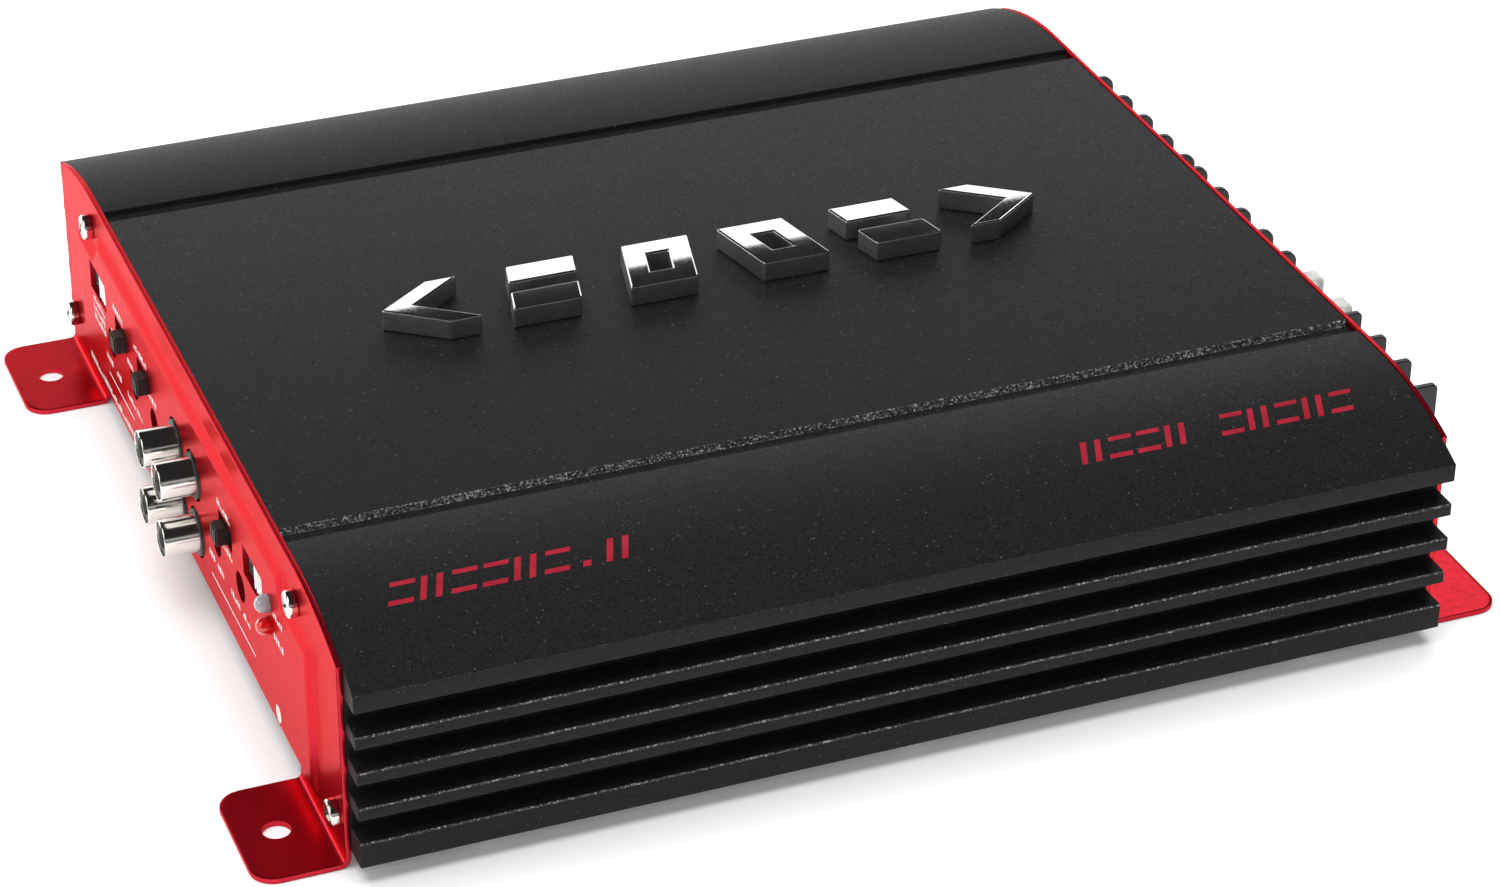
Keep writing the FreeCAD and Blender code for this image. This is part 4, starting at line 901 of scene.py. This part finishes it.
def build_lever(m, node, key, ridges, stem_wide):
    """A moulded slide lever: a slider behind the panel and a stem with finger ridges across its end."""
    low, high = (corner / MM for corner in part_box(node))
    slider_deep, ridge = 3.4, 0.35
    slider_front = high.x - slider_deep
    middle = (low + high) / 2
    tall = {"filter": 4.0, "mode": 5.8}[node.split("_")[0]]
    parts = [block((slider_front, low.y, low.z), (high.x, high.y, high.z)),
             block((low.x + ridge, middle.y - stem_wide / 2, middle.z - tall / 2),
                   (slider_front + 0.5, middle.y + stem_wide / 2, middle.z + tall / 2))]
    for i in range(ridges):
        y = middle.y + (i - (ridges - 1) / 2) * stem_wide / ridges
        wide = stem_wide / ridges * 0.5
        parts.append(block((low.x, y - wide / 2, middle.z - tall / 2 + 0.15),
                           (low.x + ridge + 0.3, y + wide / 2, middle.z + tall / 2 - 0.15)))
    obj = place_mesh(node + "_shown", parts, m[key])
    soften(obj, 0.12, 2)
    return keep(obj, key, node, body=node)


def build_trimmer(m, node):
    """A trimmer's rotor with a cross slot and a chamfered rim."""
    low, high = (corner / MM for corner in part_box(node))
    middle = (low + high) / 2
    radius, length, slot_wide, slot_long, slot_deep = 3, 4, 0.8, 4.2, 1
    profile = [(0, 0), (radius, 0), (radius, 3.7), (2.75, length), (0, length)]
    rotor = moved(lathe(profile, 48), (high.x, middle.y, middle.z), (-1, 0, 0))
    obj = place_mesh(node + "_shown", [rotor], m["trimmer_face"])
    for wide, tall in ((slot_wide, slot_long), (slot_long, slot_wide)):
        carve(obj, [block((low.x - slot_deep, middle.y - wide / 2, middle.z - tall / 2),
                          (low.x + slot_deep, middle.y + wide / 2, middle.z + tall / 2))])
    smooth_by_angle(obj, 35)
    return keep(obj, "trimmer_face", node, body=node)


def build_lamp(m, node, key, height):
    """A moulded lamp: a stalk behind the panel and a round lens."""
    low, high = (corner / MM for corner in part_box(node))
    r = LAMP_RADIUS
    length = high.x - low.x
    profile = [(0, 0), (r, 0), (r, length - r)]
    profile += [(r * math.cos(math.pi / 2 * i / 10), length - r + r * math.sin(math.pi / 2 * i / 10))
                for i in range(1, 10)]
    profile.append((0, length))
    lamp = moved(lathe(profile, 48), (high.x, LAMP_Y, height), (-1, 0, 0))
    obj = place_mesh(node + "_shown", [lamp], m[key])
    smooth_by_angle(obj, 50)
    return keep(obj, key, node)


# --- power panel -----------------------------------------------------------------------------------------

def bay_spots(pitch, ways, middle):
    """The middles of a block's ways."""
    return [middle + (way - (ways - 1) / 2) * pitch for way in range(ways)]


def build_terminal_block(m, node, middle, pitch, ways, rib, reach, nose):
    """A moulded block with a rib on each side of every way. nose is the ribs' corner radius."""
    wide = pitch * ways + rib
    tip = RAISED_FACE + reach
    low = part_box(node)[0] / MM
    start, end = middle - wide / 2, middle + wide / 2
    parts = [block((low.x, start, low.z), (END - 1.5, end, BLOCK_ROOF)),
             block((END - 3, start, BLOCK_LOW), (END + 0.2, end, BLOCK_ROOF)),
             block((END + 0.1, start, BLOCK_LOW), (BLOCK_FACE, end, BLOCK_TOP))]
    for i in range(ways + 1):
        y = middle + (i - ways / 2) * pitch
        outline = rounded([(BLOCK_FACE - 1, BLOCK_LOW, 0), (tip, BLOCK_LOW, nose), (tip, BLOCK_TOP, nose),
                           (BLOCK_FACE - 1, BLOCK_TOP, 0)], 10)
        parts.append(prism(outline, y - rib / 2, y + rib / 2, "y"))
    obj = place_mesh(node + "_shown", parts, m["black_plastic"])
    soften(obj, 0.25, 3)
    return keep(obj, "black_plastic", node)


def build_terminal_plates(m, spots):
    """One square clamp plate in each way."""
    parts = []
    for y in spots:
        outline = rectangle(y, BLOCK_MIDDLE, CLAMP_WIDE, CLAMP_WIDE, 0.8)
        parts.append(prism(outline, BLOCK_FACE, BLOCK_FACE + CLAMP_THICK, "x"))
    obj = place_mesh("terminal_plates_shown", parts, m["nickel"])
    soften(obj, 0.15, 2)
    return keep(obj, "nickel", "terminal_plates")


def build_terminal_screw(m, node, y):
    """A cheese-head terminal screw with a cross recess."""
    seat = BLOCK_FACE + CLAMP_THICK
    shank, head, height, slot_wide, slot_long = 1.75, 3.6, 2.2, 0.9, 4.0
    profile = [(0, -8), (1.45, -8), (shank, -7.5), (shank, 0), (3.5, 0), (head, 0.1), (head, 1.75), (3.3, 2.1),
               (2.8, height), (0, height)]
    screw = moved(lathe(profile, 48), (seat, y, BLOCK_MIDDLE), (1, 0, 0))
    obj = place_mesh(node + "_shown", [screw], m["nickel"])
    for wide, tall in ((slot_wide, slot_long), (slot_long, slot_wide)):
        carve(obj, [block((seat + 0.9, y - wide / 2, BLOCK_MIDDLE - tall / 2),
                          (seat + 3.5, y + wide / 2, BLOCK_MIDDLE + tall / 2))])
    smooth_by_angle(obj, 32)
    return keep(obj, "nickel", node, body=node)


def fuse_blade(low, y, middle):
    """A flat blade from a fuse's inner end to its body, a little narrower at the tip."""
    inner, tip, root, half_thick = BLOCK_FACE + 0.5, 2.1, 2.6, 0.325
    outline = rounded([(low, middle - tip, 0.6), (inner, middle - root, 0), (inner, middle + root, 0),
                       (low, middle + tip, 0.6)])
    return prism(outline, y - half_thick, y + half_thick, "y")


def build_fuse(m, node):
    """A blade fuse: a moulded body with a wide head and a waist, on two blades."""
    low, high = (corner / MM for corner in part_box(node))
    y = (low.y + high.y) / 2
    z = (low.z + high.z) / 2
    head_deep, blade_offset = 4.6, 4.7
    head = high.x - head_deep
    parts = [prism(rectangle(y, z, 5.1, 19.1, 0.9), head, high.x, "x"),
             prism(rectangle(y, z, 4.1, 14.6, 0.6), BLOCK_FACE, head + 0.5, "x")]
    obj = place_mesh(node + "_shown", parts, m["fuse_plastic"])
    soften(obj, 0.35, 3)
    keep(obj, "fuse_plastic", node, body=node)
    blades = [fuse_blade(low.x, y, z + side * blade_offset) for side in (-1, 1)]
    metal = place_mesh(node + "_blades", blades, m["nickel"])
    smooth_by_angle(metal)
    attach(metal, node)


# --- what keeps its CAD shape ----------------------------------------------------------------------------

def finish_cad_nodes(m):
    """Every CAD node that still shows gets its procedural material."""
    slots = {row["node"]: row["material_slot"] for row in frame["record"]["subparts"]}
    for name, node in frame["nodes"].items():
        if node.hide_render:
            continue
        node.data.materials.clear()
        node.data.materials.append(m[slots[name]])


# --- studio ----------------------------------------------------------------------------------------------

def area_light(name, spot, aim, size, power, glossy=True):
    """A soft rectangular light. One that isn't glossy lights surfaces without showing in reflections."""
    data = bpy.data.lights.new(name, "AREA")
    data.shape = "RECTANGLE"
    data.size, data.size_y = size
    data.energy = power
    obj = bpy.data.objects.new(name, data)
    obj.location = spot
    obj.rotation_euler = (Vector(aim) - Vector(spot)).to_track_quat("-Z", "Y").to_euler()
    obj.visible_glossy = glossy
    bpy.context.scene.collection.objects.link(obj)


def build_studio(m):
    """A plain white floor, a dim world and banks of soft light."""
    world = bpy.data.worlds.new("studio")
    bpy.context.scene.world = world
    world.use_nodes = True
    world.node_tree.nodes["Background"].inputs["Color"].default_value = (1, 1, 1, 1)
    world.node_tree.nodes["Background"].inputs["Strength"].default_value = 0.02
    half = 4000.0
    floor = place_mesh("floor", [([(-half, -half, -0.05), (half, -half, -0.05), (half, half, -0.05),
                                   (-half, half, -0.05)], [(0, 1, 2, 3)])], m["floor"])
    area_light("overhead", (0.0, 0.1, 1.9), (0, 0, 0), (2.4, 2.0), 60, glossy=False)
    area_light("front_soft", (0.3, -2.0, 1.3), (0, 0, 0), (2.4, 1.4), 17, glossy=False)
    area_light("back_bank", (0.6, 2.2, 0.745), (0.6, 0, 0.745), (3.0, 1.2), 14)
    area_light("right_bank", (1.6, 2.2, 1.75), (0.13, -0.09, 0), (0.7, 0.7), 4.5)
    area_light("left_back_bank", (-1.35, 1.75, 0.36), (-0.12, 0, 0.04), (1.4, 0.6), 10)
    area_light("left_bank", (-1.5, -0.1, 0.8), (-0.1, 0, 0.03), (1.0, 1.4), 7.5)
    area_light("front_low", (-0.5, -1.9, 0.55), (0, 0, 0.05), (2.4, 0.5), 1.6)


def build_camera():
    """A long lens from the front left, a little above, rolled by half a degree."""
    spot, aim, roll = Vector((-0.2871, -0.7387, 0.4890)), Vector((-0.0060, -0.0356, 0.0300)), -0.552
    data = bpy.data.cameras.new("camera")
    data.sensor_width = 36.0
    data.lens = 100.2
    data.clip_start, data.clip_end = 0.01, 100.0
    camera = bpy.data.objects.new("camera", data)
    turn = (aim - spot).to_track_quat("-Z", "Y").to_matrix().to_4x4()
    camera.matrix_world = Matrix.Translation(spot) @ turn @ Matrix.Rotation(math.radians(-roll), 4, "Z")
    bpy.context.scene.collection.objects.link(camera)
    bpy.context.scene.camera = camera


def build_plates(m):
    """Both end plates with their legends and screws, and the floor's screws."""
    build_end_plate(m, "signal_end_plate", -1, SIGNAL_SCREWS, signal_cutters())
    build_end_plate(m, "power_end_plate", 1, POWER_SCREWS, power_cutters())
    build_legends(m)
    screw = pan_head_screw()
    build_plate_screws(m, screw, "signal_plate_screws", -1, SIGNAL_SCREWS)
    build_plate_screws(m, screw, "power_plate_screws", 1, POWER_SCREWS)
    build_cover_screws(m, screw)


def build_signal_panel(m):
    build_phono_shells(m)
    build_phono_cores(m)
    build_phono_contacts(m)
    build_phono_housing(m)
    build_phono_collars(m)
    for number in range(1, len(FILTER_SLOTS) + 1):
        build_lever(m, f"filter_lever_{number}", "black_plastic", 3, 4.0)
    for number in range(1, len(MODE_SLOTS) + 1):
        build_lever(m, f"mode_lever_{number}", "white_plastic", 4, 7.0)
    for number in range(1, len(TRIMMER_SPOTS) + 1):
        build_trimmer(m, f"trimmer_rotor_{number}")
    build_lamp(m, "power_lamp", "clear_lamp", LAMP_HEIGHTS[0])
    build_lamp(m, "fault_lamp", "red_lamp", LAMP_HEIGHTS[1])


def build_power_panel(m):
    for number, middle in enumerate(SPEAKER_BLOCKS, start=1):
        build_terminal_block(m, f"speaker_block_{number}", middle, SPEAKER_PITCH, 4, SPEAKER_RIB,
                             SPEAKER_REACH, SPEAKER_NOSE)
    build_terminal_block(m, "power_block", POWER_BLOCK, POWER_PITCH, 3, POWER_RIB, POWER_REACH, POWER_NOSE)
    speaker_bays = [y for middle in SPEAKER_BLOCKS for y in bay_spots(SPEAKER_PITCH, 4, middle)]
    power_bays = bay_spots(POWER_PITCH, 3, POWER_BLOCK)
    build_terminal_plates(m, speaker_bays + power_bays)
    for number, y in enumerate(speaker_bays, start=1):
        build_terminal_screw(m, f"speaker_screw_{number}", y)
    for number, y in enumerate(power_bays, start=1):
        build_terminal_screw(m, f"power_screw_{number}", y)
    for number in (1, 2):
        build_fuse(m, f"fuse_{number}")


def build_all():
    m = make_materials()
    build_housing(m)
    build_shoulder_print(m)
    build_plates(m)
    build_badge(m)
    build_signal_panel(m)
    build_power_panel(m)
    finish_cad_nodes(m)
    build_studio(m)
    build_camera()


bpy.context.scene.view_settings.view_transform = "Standard"
build_all()
bpy.context.view_layer.update()
